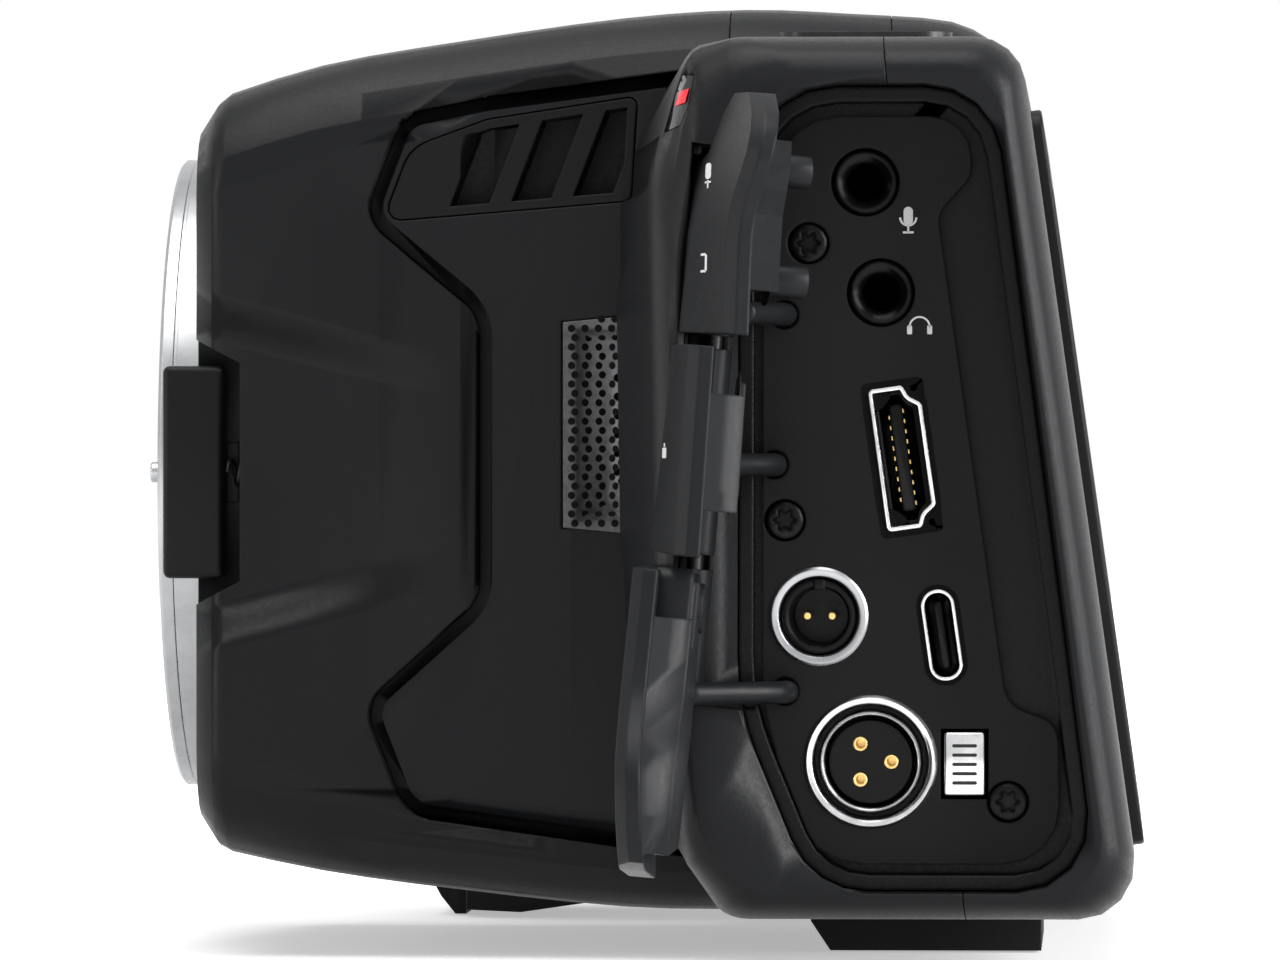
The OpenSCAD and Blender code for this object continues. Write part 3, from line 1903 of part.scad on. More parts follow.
throat_cover();
front_shell();
rear_shell();
hand_grip();
foot_pad();
top_mount();
battery_door();
battery_latch();
battery();
card_door();
lens_mount();
mount_screws();
throat_liner();
contact_block();
sensor();
cover_glass();
release_button();
lock_pin();
release_spring();
mic_grille_left();
mic_grille_right();
louvres_left();
louvres_right();
tally_window();
speaker_grille();
panel_frame();
connector_panel();
mic_jack();
headphone_jack();
display_socket();
data_socket();
power_socket();
audio_socket();
audio_insert();
socket_contacts();
latch_tab();
panel_screws();
door_upper();
door_mid();
door_lower();
hinge_rod();
tether_upper();
tether_mid();
tether_lower();
screen_frame();
screen_glass();
menu_button();
play_button();
focus_button();
iris_button();
record_button();
still_button();
iso_button();
shutter_button();
balance_button();
power_switch();
control_wheel();
main_board();
fan_frame();
fan_rotor();
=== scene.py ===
import math

import bpy
from mathutils import Matrix, Vector
from mathutils.bvhtree import BVHTree


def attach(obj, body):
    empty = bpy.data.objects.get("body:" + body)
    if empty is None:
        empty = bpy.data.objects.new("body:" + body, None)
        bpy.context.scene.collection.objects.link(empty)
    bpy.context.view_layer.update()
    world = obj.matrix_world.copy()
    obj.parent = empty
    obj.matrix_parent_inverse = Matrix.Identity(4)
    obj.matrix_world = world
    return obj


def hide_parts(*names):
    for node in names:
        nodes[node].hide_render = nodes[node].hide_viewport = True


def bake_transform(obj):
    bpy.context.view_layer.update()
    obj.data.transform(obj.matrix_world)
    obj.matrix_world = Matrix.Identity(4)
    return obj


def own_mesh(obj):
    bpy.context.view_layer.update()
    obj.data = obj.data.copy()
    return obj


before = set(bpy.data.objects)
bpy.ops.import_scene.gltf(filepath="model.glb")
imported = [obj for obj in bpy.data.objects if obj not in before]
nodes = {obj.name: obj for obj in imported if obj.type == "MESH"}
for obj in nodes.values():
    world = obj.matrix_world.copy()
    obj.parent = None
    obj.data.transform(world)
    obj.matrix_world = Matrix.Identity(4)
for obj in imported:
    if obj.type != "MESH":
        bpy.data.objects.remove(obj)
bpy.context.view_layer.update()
scene = bpy.context.scene
scene.view_settings.view_transform = "Standard"
print("frame loaded")

# Camera: square on from the operator's left, turned a little towards the rear
cameraPlan = {
    "aim": (0.0, -0.0305, 0.0484),
    "distance": 1.03,
    "azimuth": 92.7,
    "focal": 275.2,
    "sensor": 36.0,
}


def addCamera(plan):
    turn = math.radians(plan["azimuth"])
    data = bpy.data.cameras.new("camera")
    data.lens = plan["focal"]
    data.sensor_width = plan["sensor"]
    data.clip_start = 0.01
    data.clip_end = 20.0
    view = bpy.data.objects.new("camera", data)
    scene.collection.objects.link(view)
    view.location = Vector(plan["aim"]) + plan["distance"] * Vector((math.sin(turn), -math.cos(turn), 0.0))
    view.rotation_euler = (math.pi / 2, 0.0, turn)
    scene.camera = view


addCamera(cameraPlan)


# Node helpers: a material is a tree that reads Object coordinates
def startMaterial(name):
    material = bpy.data.materials.new(name)
    material.use_nodes = True
    tree = material.node_tree
    tree.nodes.clear()
    output = tree.nodes.new("ShaderNodeOutputMaterial")
    shader = tree.nodes.new("ShaderNodeBsdfPrincipled")
    tree.links.new(shader.outputs["BSDF"], output.inputs["Surface"])
    place = tree.nodes.new("ShaderNodeTexCoord")
    return material, tree, shader, place.outputs["Object"]


def addNoise(tree, place, scale, detail, roughness=0.55):
    noise = tree.nodes.new("ShaderNodeTexNoise")
    noise.inputs["Scale"].default_value = scale
    noise.inputs["Detail"].default_value = detail
    noise.inputs["Roughness"].default_value = roughness
    tree.links.new(place, noise.inputs["Vector"])
    return noise.outputs["Fac"]


def addRange(tree, value, low, high, fromLow=0.3, fromHigh=0.7, smooth=False):
    ranged = tree.nodes.new("ShaderNodeMapRange")
    if smooth:
        ranged.interpolation_type = "SMOOTHSTEP"
    ranged.inputs["From Min"].default_value = fromLow
    ranged.inputs["From Max"].default_value = fromHigh
    ranged.inputs["To Min"].default_value = low
    ranged.inputs["To Max"].default_value = high
    tree.links.new(value, ranged.inputs["Value"])
    return ranged.outputs["Result"]


def addMath(tree, kind, first, second=None):
    node = tree.nodes.new("ShaderNodeMath")
    node.operation = kind
    for socket, value in zip(node.inputs, (first, second)):
        if value is None:
            continue
        if isinstance(value, (int, float)):
            socket.default_value = value
        else:
            tree.links.new(value, socket)
    return node.outputs[0]


def addAxes(tree, place):
    split = tree.nodes.new("ShaderNodeSeparateXYZ")
    tree.links.new(place, split.inputs[0])
    return split.outputs


def addRamp(tree, value, colours, low=0.35, high=0.65):
    ramp = tree.nodes.new("ShaderNodeValToRGB")
    ramp.color_ramp.elements[0].position = low
    ramp.color_ramp.elements[1].position = high
    for element, colour in zip(ramp.color_ramp.elements, colours):
        element.color = (*colour, 1.0)
    tree.links.new(value, ramp.inputs["Fac"])
    return ramp.outputs["Color"]


def addBump(tree, shader, height, strength, distance, below=None):
    bump = tree.nodes.new("ShaderNodeBump")
    bump.inputs["Strength"].default_value = strength
    bump.inputs["Distance"].default_value = distance
    tree.links.new(height, bump.inputs["Height"])
    if below:
        tree.links.new(below, bump.inputs["Normal"])
    tree.links.new(bump.outputs["Normal"], shader.inputs["Normal"])


def addSoftEdge(tree, radius):
    edge = tree.nodes.new("ShaderNodeBevel")
    edge.samples = 4
    edge.inputs["Radius"].default_value = radius
    return edge.outputs["Normal"]


# Moulded plastic and rubber: cloudy base colour, beaded grain, worn soft edges
def mouldedPlastic(
    name, dark, light, rough, grain=2400.0, bump=0.3, depth=0.00004, edge=0.0003, specular=0.14
):
    material, tree, shader, place = startMaterial(name)
    cloud = addNoise(tree, place, 30.0, 3.0)
    tree.links.new(addRamp(tree, cloud, (dark, light)), shader.inputs["Base Color"])
    fine = addNoise(tree, place, grain, 2.0, 0.5)
    tree.links.new(addRange(tree, fine, rough[0], rough[1]), shader.inputs["Roughness"])
    below = addSoftEdge(tree, edge) if edge else None
    addBump(tree, shader, fine, bump, depth, below)
    shader.inputs["Specular IOR Level"].default_value = specular
    return material


# The throat's side has a shallow scoop on either side of the release button
scoopPlan = {
    "middle": 0.0492,
    "half": (0.0138, 0.0188),
    "taper": 0.26,
    "front": -0.074,
    "fade": (-0.066, -0.047),
    "side": (0.031, 0.034),
    "depth": 0.003,
}


def throatPlastic(name, dark, light, rough, plan):
    material = mouldedPlastic(name, dark, light, rough, bump=0.35)
    tree = material.node_tree
    shader = tree.nodes["Principled BSDF"]
    grainBump = tree.nodes["Bump"]
    place = tree.nodes["Texture Coordinate"].outputs["Object"]
    axes = addAxes(tree, place)
    offCentre = addMath(tree, "ABSOLUTE", addMath(tree, "SUBTRACT", axes[2], plan["middle"]))
    taper = addMath(tree, "MULTIPLY", addMath(tree, "SUBTRACT", axes[1], plan["front"]), plan["taper"])
    across = addRange(tree, addMath(tree, "ADD", offCentre, taper), 1.0, 0.0, *plan["half"], True)
    along = addRange(tree, axes[1], 1.0, 0.0, *plan["fade"], True)
    side = addRange(tree, axes[0], 0.0, 1.0, *plan["side"], True)
    scoop = addMath(tree, "MULTIPLY", addMath(tree, "MULTIPLY", across, along), side)
    deep = addMath(tree, "MULTIPLY", scoop, -plan["depth"])
    addBump(tree, shader, deep, 1.0, 1.0, grainBump.outputs["Normal"])
    return material


def brushedMetal(name, colours, rough=(0.2, 0.34), lines=900.0, metallic=1.0, edge=0.00015, bump=0.2):
    material, tree, shader, place = startMaterial(name)
    streak = addNoise(tree, place, lines, 3.0, 0.6)
    tree.links.new(addRamp(tree, streak, colours), shader.inputs["Base Color"])
    tree.links.new(addRange(tree, streak, rough[0], rough[1]), shader.inputs["Roughness"])
    addBump(tree, shader, streak, bump, 0.00001, addSoftEdge(tree, edge) if edge else None)
    shader.inputs["Metallic"].default_value = metallic
    return material


def smoothGloss(name, dark, light, rough=(0.06, 0.14), clear=None):
    material, tree, shader, place = startMaterial(name)
    cloud = addNoise(tree, place, 60.0, 3.0)
    tree.links.new(addRamp(tree, cloud, (dark, light)), shader.inputs["Base Color"])
    fine = addNoise(tree, place, 220.0, 4.0)
    tree.links.new(addRange(tree, fine, rough[0], rough[1]), shader.inputs["Roughness"])
    if clear is not None:
        shader.inputs["Transmission Weight"].default_value = clear
    return material


def glowingBar(name, dark, light, strength):
    material = smoothGloss(name, dark, light, (0.2, 0.3))
    shader = material.node_tree.nodes["Principled BSDF"]
    shader.inputs["Emission Color"].default_value = (*light, 1.0)
    shader.inputs["Emission Strength"].default_value = strength
    return material


finishes = {
    "casing": mouldedPlastic(
        "beadBlastedCasing", (0.0055, 0.0058, 0.0067), (0.0072, 0.0076, 0.0086), (0.33, 0.43), bump=0.4,
    ),
    "throat": throatPlastic(
        "beadBlastedThroat", (0.0055, 0.0058, 0.0066), (0.0072, 0.0076, 0.0085), (0.31, 0.41), scoopPlan,
    ),
    "grip": mouldedPlastic(
        "gripRubber", (0.008, 0.008, 0.0085), (0.012, 0.012, 0.0125), (0.55, 0.7), 1500.0, 0.6,
    ),
    "door": mouldedPlastic(
        "doorRubber", (0.0075, 0.008, 0.009), (0.0095, 0.01, 0.0115), (0.33, 0.42), 2200.0, 0.12, edge=0.0004,
    ),
    "trim": mouldedPlastic(
        "matteTrim", (0.003, 0.003, 0.0033), (0.0045, 0.0045, 0.005), (0.34, 0.44), 2600.0, 0.25,
    ),
    "panel": mouldedPlastic(
        "panelPlastic", (0.0045, 0.0045, 0.005), (0.006, 0.006, 0.0066), (0.46, 0.56), 2600.0, 0.3,
    ),
    "frame": mouldedPlastic(
        "bayFrame", (0.002, 0.002, 0.0023), (0.003, 0.003, 0.0034), (0.25, 0.35), 2600.0, 0.1, edge=0.0004,
    ),
    "jack": mouldedPlastic(
        "jackShell", (0.002, 0.002, 0.0023), (0.003, 0.003, 0.0033), (0.16, 0.26), 1800.0, 0.1, edge=0.0005,
    ),
    "bright": brushedMetal(
        "turnedSteel", ((0.36, 0.365, 0.375), (0.42, 0.425, 0.435)), (0.26, 0.32), 260.0, bump=0.0,
    ),
    "chrome": brushedMetal("platedShell", ((0.62, 0.62, 0.63), (0.76, 0.76, 0.77)), (0.1, 0.2), 500.0),
    "darkMetal": brushedMetal(
        "blackenedSteel", ((0.012, 0.012, 0.013), (0.022, 0.022, 0.024)), (0.28, 0.42), 1200.0, metallic=0.5,
    ),
    "mesh": brushedMetal(
        "grilleMesh", ((0.05, 0.05, 0.052), (0.08, 0.08, 0.083)), (0.3, 0.4), 1200.0, metallic=0.7,
    ),
    "gold": brushedMetal("goldContact", ((0.72, 0.46, 0.16), (0.88, 0.62, 0.26)), (0.18, 0.3), 1500.0),
    "screen": smoothGloss("screenGlass", (0.003, 0.003, 0.004), (0.005, 0.005, 0.006), (0.09, 0.1)),
    "sensor": smoothGloss("sensorFace", (0.02, 0.05, 0.05), (0.05, 0.04, 0.07)),
    "clear": smoothGloss("coverGlass", (0.9, 0.95, 0.95), (0.96, 0.98, 0.98), (0.01, 0.03), 0.95),
    "tally": smoothGloss("tallyLens", (0.004, 0.003, 0.004), (0.007, 0.005, 0.006), (0.05, 0.1)),
    "tallyBar": glowingBar("tallyBar", (0.75, 0.012, 0.025), (0.85, 0.02, 0.035), 0.35),
    "record": smoothGloss("recordRed", (0.28, 0.01, 0.012), (0.36, 0.016, 0.018), (0.3, 0.4)),
    "board": smoothGloss("boardMask", (0.01, 0.06, 0.03), (0.015, 0.085, 0.045), (0.3, 0.45)),
    # Near-black painted shade, standing for the shade inside holes, bores and gaps
    "paintedShade": mouldedPlastic(
        "paintedHoleShade", (0.0006, 0.0006, 0.0006), (0.001, 0.001, 0.001), (0.8, 0.9), 3000.0, 0.05, edge=0.0,
    ),
    "print": mouldedPlastic(
        "whitePrint", (0.72, 0.72, 0.72), (0.82, 0.82, 0.82), (0.5, 0.6), 3000.0, 0.05, edge=0.0,
    ),
}

# Nodes that stay as they are, by finish
wears = {
    "trim": ["battery", "contact_block", "audio_insert", "fan_frame", "fan_rotor"],
    "bright": ["mount_screws"],
    "darkMetal": ["hinge_rod"],
    "gold": ["socket_contacts"],
    "screen": ["screen_glass"],
    "sensor": ["sensor"],
    "clear": ["cover_glass"],
    "board": ["main_board"],
}


def paintMesh(mesh, finish):
    mesh.materials.clear()
    mesh.materials.append(finishes[finish])


for finish, wearers in wears.items():
    for wearer in wearers:
        paintMesh(nodes[wearer].data, finish)
print("frame painted")

# Pieces taken from the frame: the facets are merged, edges rounded and the faces shaded smooth
softened = {
    # node: body, slot, finish, smoothing angle, edge radius
    "throat_cover": ("casing", "casing_plastic", "throat", 32.0, 0.0),
    "front_shell": ("casing", "casing_plastic", "casing", 32.0, 0.0),
    "rear_shell": ("casing", "casing_plastic", "casing", 32.0, 0.0),
    "hand_grip": ("casing", "grip_rubber", "grip", 35.0, 0.0),
    "foot_pad": ("casing", "grip_rubber", "grip", 35.0, 0.0),
    "tally_window": ("casing", "tally_gloss", "tally", 34.0, 0.0),
    "louvres_left": ("casing", "trim_black", "trim", 30.0, 0.0),
    "louvres_right": ("casing", "trim_black", "trim", 30.0, 0.0),
    "mic_grille_left": ("casing", "trim_black", "mesh", 30.0, 0.0),
    "mic_grille_right": ("casing", "trim_black", "mesh", 30.0, 0.0),
    "door_upper": ("door_upper", "door_rubber", "door", 24.0, 0.0),
    "door_mid": ("door_mid", "door_rubber", "door", 24.0, 0.0),
    "door_lower": ("door_lower", "door_rubber", "door", 24.0, 0.0),
    "release_button": ("lens_release", "trim_black", "trim", 40.0, 0.0007),
    "battery_door": ("battery_door", "trim_black", "trim", 40.0, 0.0004),
    "card_door": ("card_door", "trim_black", "trim", 40.0, 0.0003),
    "screen_frame": ("casing", "trim_black", "trim", 40.0, 0.0003),
    "latch_tab": ("latch_tab", "chrome_metal", "chrome", 40.0, 0.0003),
    "power_switch": ("power_switch", "trim_black", "trim", 40.0, 0.0004),
    "control_wheel": ("control_wheel", "trim_black", "trim", 40.0, 0.0003),
    "record_button": ("record_button", "tally_gloss", "record", 40.0, 0.0005),
    "still_button": ("still_button", "trim_black", "trim", 40.0, 0.0005),
    "menu_button": ("menu_button", "trim_black", "trim", 40.0, 0.0004),
    "play_button": ("play_button", "trim_black", "trim", 40.0, 0.0004),
    "focus_button": ("focus_button", "trim_black", "trim", 40.0, 0.0004),
    "iris_button": ("iris_button", "trim_black", "trim", 40.0, 0.0004),
    "iso_button": ("iso_button", "trim_black", "trim", 40.0, 0.0004),
    "shutter_button": ("shutter_button", "trim_black", "trim", 40.0, 0.0004),
    "balance_button": ("balance_button", "trim_black", "trim", 40.0, 0.0004),
}


def selectOnly(piece):
    if bpy.context.object and bpy.context.object.mode != "OBJECT":
        bpy.ops.object.mode_set(mode="OBJECT")
    bpy.ops.object.select_all(action="DESELECT")
    piece.select_set(True)
    bpy.context.view_layer.objects.active = piece


def applyModifier(piece, kind, **settings):
    modifier = piece.modifiers.new(kind.title(), kind)
    for name, value in settings.items():
        setattr(modifier, name, value)
    selectOnly(piece)
    bpy.ops.object.modifier_apply(modifier=modifier.name)


def editAll(piece):
    selectOnly(piece)
    bpy.ops.object.mode_set(mode="EDIT")
    bpy.ops.mesh.select_all(action="SELECT")


def faceOutward(piece):
    editAll(piece)
    bpy.ops.mesh.normals_make_consistent(inside=False)
    bpy.ops.object.mode_set(mode="OBJECT")


def applyPlace(piece):
    selectOnly(piece)
    bpy.ops.object.transform_apply(location=True, rotation=True, scale=True)


def newPiece(name, corners, edges, faces):
    mesh = bpy.data.meshes.new(name)
    mesh.from_pydata(corners, edges, faces)
    piece = bpy.data.objects.new(name, mesh)
    scene.collection.objects.link(piece)
    return piece


def joinPieces(name, parts):
    selectOnly(parts[0])
    for part in parts[1:]:
        part.select_set(True)
    bpy.ops.object.join()
    joined = bpy.context.view_layer.objects.active
    joined.name = name
    return joined


def roundedBox(halfWide, halfTall, corner, steps=6):
    outline = []
    for wide, tall, first in ((1, 1, 0.0), (-1, 1, 90.0), (-1, -1, 180.0), (1, -1, 270.0)):
        for k in range(steps + 1):
            turn = math.radians(first + 90.0 * k / steps)
            y = wide * (halfWide - corner) + corner * math.cos(turn)
            z = tall * (halfTall - corner) + corner * math.sin(turn)
            outline.append((y, z))
    return outline


# The material is set, the body ridden, and the frame's node hidden where the piece stands for one
def finishPiece(piece, body, finish, angle=35.0, stands=None):
    applyPlace(piece)
    bpy.ops.object.shade_smooth_by_angle(angle=math.radians(angle))
    paintMesh(piece.data, finish)
    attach(piece, body)
    if stands:
        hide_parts(stands)


# The wing's front edge stands further back in the photo than in the frame
wingPlan = {
    "nodes": ("front_shell", "tally_window"),
    "across": (0.056, 0.074),
    "along": (-0.031, -0.0178),
    "move": 0.0046,
}


def smoothShare(value, low, high):
    share = min(max((value - low) / (high - low), 0.0), 1.0)
    return share * share * (3.0 - 2.0 * share)


def pullWing(mesh):
    for corner in mesh.vertices:
        outer = smoothShare(corner.co.x, *wingPlan["across"])
        share = outer * (1.0 - smoothShare(corner.co.y, *wingPlan["along"]))
        corner.co.y += share * wingPlan["move"]


softLimits = {
    "merge": 0.000002,
    "flat": 0.5,
    "cornerAngle": 50.0,
    "plateAngle": 40.0,
    "unclamped": ("release_button",),
    # pieces smoothed below this angle get normals weighted by area
    "weightBelow": 35.0,
    "weight": 80,
}


def copyNode(node, flatten=True):
    piece = bpy.data.objects.new(node + "Soft", nodes[node].data.copy())
    scene.collection.objects.link(piece)
    editAll(piece)
    bpy.ops.mesh.remove_doubles(threshold=softLimits["merge"])
    if flatten:
        bpy.ops.mesh.dissolve_limited(angle_limit=math.radians(softLimits["flat"]))
    bpy.ops.object.mode_set(mode="OBJECT")
    return piece


def softenNode(node, body, slotName, finish, angle, edge):
    piece = copyNode(node)
    if edge:
        applyModifier(
            piece, "BEVEL", width=edge, segments=3, limit_method="ANGLE",
            angle_limit=math.radians(softLimits["cornerAngle"]),
            use_clamp_overlap=node not in softLimits["unclamped"],
        )
    if node in wingPlan["nodes"]:
        pullWing(piece.data)
    finishPiece(piece, body, finish, angle)
    if angle < softLimits["weightBelow"]:
        applyModifier(piece, "WEIGHTED_NORMAL", keep_sharp=True, weight=softLimits["weight"])
    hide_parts(node)
    return piece


for node, plan in softened.items():
    softenNode(node, *plan)
print("shells softened")

# The lit bar is laid on the tally window at the wing's front corner
tallyPlan = {
    # shares of the window's own width and height
    "bar": [(0.5, 0.70), (0.84, 0.75), (0.71, 0.5), (0.34, 0.45)],
    "proud": 0.0002,
    "deep": 0.0007,
    "cuts": 4,
}


# A thin piece that follows a side face: its outline is cast on to the face along X
def laidPiece(name, outline, surface, proud, deep, cuts, start=0.12):
    rim = []
    for k, (y, z) in enumerate(outline):
        nextY, nextZ = outline[(k + 1) % len(outline)]
        rim += [(y + (nextY - y) * cut / cuts, z + (nextZ - z) * cut / cuts) for cut in range(cuts)]
    midY = sum(y for y, z in outline) / len(outline)
    midZ = sum(z for y, z in outline) / len(outline)
    points = [(midY, midZ)]
    for share in (0.5, 1.0):
        points += [(midY + (y - midY) * share, midZ + (z - midZ) * share) for y, z in rim]
    corners, ring = [], len(rim)
    for y, z in points:
        place = surface.ray_cast(Vector((start, y, z)), Vector((-1.0, 0.0, 0.0)))[0]
        if place is None:
            print("laid piece misses", name, y, z)
            return None
        corners.append(place + Vector((proud, 0.0, 0.0)))
    corners += [corner - Vector((deep, 0.0, 0.0)) for corner in corners[1 + ring:]]
    faces = []
    for k in range(ring):
        after = (k + 1) % ring
        faces.append([0, 1 + k, 1 + after])
        faces.append([1 + k, 1 + ring + k, 1 + ring + after, 1 + after])
        faces.append([1 + ring + k, 1 + 2 * ring + k, 1 + 2 * ring + after, 1 + ring + after])
    faces.append([1 + 2 * ring + k for k in range(ring)])
    piece = newPiece(name, corners, [], faces)
    faceOutward(piece)
    return piece


def surfaceOf(mesh):
    corners = [corner.co for corner in mesh.vertices]
    return BVHTree.FromPolygons(corners, [face.vertices for face in mesh.polygons])


tallyMesh = bpy.data.objects["tally_windowSoft"].data
wide = [corner.co.y for corner in tallyMesh.vertices]
tall = [corner.co.z for corner in tallyMesh.vertices]
width, height = max(wide) - min(wide), max(tall) - min(tall)
barOutline = [(min(wide) + y * width, min(tall) + z * height) for y, z in tallyPlan["bar"]]
tallyBar = laidPiece(
    "tallyBar", barOutline, surfaceOf(tallyMesh), tallyPlan["proud"], tallyPlan["deep"], tallyPlan["cuts"]
)
if tallyBar:
    finishPiece(tallyBar, "casing", "tallyBar", 30.0)

# Small white pictograms on the doors' outer faces
doorIconPlan = {
    "proud": 0.00006,
    "deep": 0.0002,
    "cuts": 1,
    "icons": [
        # door, centre, strokes as half sizes and corner, offset
        ("door_upper", (-0.0196, 0.0777), [
            ((0.00032, 0.0008, 0.0003), (0.0, 0.0003)),
            ((0.00034, 0.00009, 0.00005), (0.0, -0.0008)),
            ((0.00008, 0.0004, 0.00005), (0.0, -0.001)),
        ]),
        ("door_upper", (-0.0199, 0.0691), [
            ((0.00012, 0.0008, 0.0001), (0.0003, 0.0)),
            ((0.0003, 0.00012, 0.0001), (0.0, 0.0008)),
            ((0.0003, 0.00012, 0.0001), (0.0, -0.0008)),
        ]),
        ("door_mid", (-0.0239, 0.0510), [
            ((0.0003, 0.0005, 0.00008), (0.0, 0.0)),
            ((0.0001, 0.00018, 0.00005), (0.0, 0.00075)),
        ]),
    ],
}
for door, centre, strokes in doorIconPlan["icons"]:
    doorSurface = surfaceOf(nodes[door].data)
    laid = []
    for size, shift in strokes:
        outline = [(centre[0] + shift[0] + y, centre[1] + shift[1] + z) for y, z in roundedBox(*size, 3)]
        stroke = laidPiece(
            door + "Icon", outline, doorSurface,
            doorIconPlan["proud"], doorIconPlan["deep"], doorIconPlan["cuts"],
        )
        if stroke:
            laid.append(stroke)
    if laid:
        finishPiece(joinPieces(door + "Icon", laid), door, "print")
print("tally window laid")

# Release spring: softened like the shells, on a mesh of its own
spring = softenNode("release_spring", "casing", "bright_metal", "darkMetal", 40.0, 0.0)
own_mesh(spring)

# Rubber straps between the panel and the doors, merged and shaded smooth
strapPlan = {
    # strap: door, start at the panel, end at the door
    "tether_upper": ("door_upper", (0.083, -0.0126, 0.0644), (0.0895, -0.0170, 0.0644)),
    "tether_mid": ("door_mid", (0.083, -0.0136, 0.0499), (0.0895, -0.0185, 0.0499)),
    "tether_lower": ("door_lower", (0.083, -0.0126, 0.0279), (0.0895, -0.0205, 0.0279)),
}
for strap, (door, start, end) in strapPlan.items():
    piece = copyNode(strap, flatten=False)
    bpy.ops.object.shade_smooth_by_angle(angle=math.radians(40))
    paintMesh(piece.data, "door")
    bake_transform(piece)
    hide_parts(strap)
print("straps softened")


# Round pieces: an outline of (x, radius) spun about an axis along X
def spinPiece(name, outline, centre, steps=48):
    count = len(outline)
    corners = [(x - outline[0][0], radius, 0.0) for x, radius in outline]
    piece = newPiece(name, corners, [(k, (k + 1) % count) for k in range(count)], [])
    applyModifier(
        piece, "SCREW", axis="X", steps=steps, render_steps=steps, use_merge_vertices=True,
        merge_threshold=softLimits["merge"],
    )
    editAll(piece)
    bpy.ops.mesh.remove_doubles(threshold=softLimits["merge"])
    bpy.ops.mesh.dissolve_degenerate(threshold=softLimits["merge"])
    bpy.ops.mesh.normals_make_consistent(inside=False)
    bpy.ops.object.mode_set(mode="OBJECT")
    piece.location = (outline[0][0], *centre)
    return piece


# Flat pieces: an outline of (y, z) filled, and drawn out along X; wall leaves a shell of that thickness
def platePiece(name, outline, fromX, toX, centre, lean=0.0, wall=0.0, edge=0.0):
    piece = newPiece(name, [(0.0, y, z) for y, z in outline], [], [tuple(range(len(outline)))])
    editAll(piece)
    if wall:
        bpy.ops.mesh.inset(thickness=wall, depth=0.0)
        bpy.ops.mesh.delete(type="FACE")
        bpy.ops.mesh.select_all(action="SELECT")
    bpy.ops.mesh.extrude_region_move(TRANSFORM_OT_translate={"value": (toX - fromX, 0.0, 0.0)})
    bpy.ops.mesh.select_all(action="SELECT")
    bpy.ops.mesh.normals_make_consistent(inside=False)
    bpy.ops.object.mode_set(mode="OBJECT")
    if edge:
        applyModifier(
            piece, "BEVEL", width=edge, segments=2, limit_method="ANGLE",
            angle_limit=math.radians(softLimits["plateAngle"]),
        )
    piece.location = (fromX, *centre)
    piece.rotation_euler = (lean, 0.0, 0.0)
    return piece


def arcBand(inner, outer, fromDeg, toDeg, steps=24):
    turns = [math.radians(fromDeg + (toDeg - fromDeg) * k / steps) for k in range(steps + 1)]
    far = [(outer * math.cos(turn), outer * math.sin(turn)) for turn in turns]
    near = [(inner * math.cos(turn), inner * math.sin(turn)) for turn in reversed(turns)]
    return far + near


# Rings, latch, plates and the bay's panel are softened in the same way
fittings = {
    # node: body, slot, finish, edge radius
    "lens_mount": ("casing", "bright_metal", "bright", 0.0),
    "lock_pin": ("lens_release", "bright_metal", "bright", 0.0002),
    "throat_liner": ("casing", "trim_black", "trim", 0.0002),
    "battery_latch": ("battery_latch", "trim_black", "trim", 0.0002),
    "top_mount": ("casing", "dark_metal", "darkMetal", 0.0002),
    "speaker_grille": ("casing", "dark_metal", "darkMetal", 0.0),
    "connector_panel": ("casing", "trim_black", "panel", 0.0),
    "panel_frame": ("casing", "trim_black", "frame", 0.0),
}
for node, (body, slotName, finish, edge) in fittings.items():
    softenNode(node, body, slotName, finish, 30.0, edge)
print("metal rings softened")

# Turned outer sleeve of the bayonet ring, with a lip at the front and a shallow groove
sleevePlan = {
    "seat": -0.0783,
    "middle": 0.0492,
    "steps": 128,
    # place along the lens axis, radius
    "outline": [
        (-0.00415, 0.0312), (-0.00415, 0.03294), (-0.0018, 0.03294), (-0.0016, 0.03278),
        (-0.0014, 0.03294), (-0.0003, 0.03294), (0.00002, 0.0326), (0.00002, 0.0312),
    ],
}
sleeve = spinPiece(
    "mountSleeve", sleevePlan["outline"], (sleevePlan["seat"], sleevePlan["middle"]), sleevePlan["steps"]
)
sleeve.location = (0.0, sleevePlan["seat"] - sleevePlan["outline"][0][0], sleevePlan["middle"])
sleeve.rotation_euler = (0.0, 0.0, -math.pi / 2)
finishPiece(sleeve, "casing", "bright", 30.0)

# A thin shutter on the button closes the arm's slot from outside
shutterPlan = {"size": (0.00075, 0.0031, 0.0002), "span": (0.0330, 0.0332), "centre": (-0.0706, 0.0492)}
shutter = platePiece(
    "slotShutter", roundedBox(*shutterPlan["size"], 2), *shutterPlan["span"], shutterPlan["centre"]
)
finishPiece(shutter, "lens_release", "frame")

# Jacks: a glossy collar around a deep bore, whose bottom is a near-black disc of painted shade
jackPlan = {
    "centres": {"mic_jack": (-0.0048, 0.07721), "headphone_jack": (-0.0033, 0.06653)},
    "collar": [
        (0.0705, 0.0018), (0.0815, 0.0018), (0.08195, 0.0021), (0.0821, 0.0024), (0.08228, 0.00262),
        (0.08228, 0.00286), (0.0820, 0.00302), (0.0819, 0.00315), (0.0705, 0.00315),
    ],
    "floor": [(0.0702, 0.0), (0.0702, 0.00315), (0.0708, 0.00315), (0.0708, 0.0)],
}
for node, centre in jackPlan["centres"].items():
    for part, finish in (("collar", "jack"), ("floor", "paintedShade")):
        piece = spinPiece(node + part.title(), jackPlan[part], centre)
        finishPiece(piece, "casing", finish, 30.0, node)
print("jacks modelled")

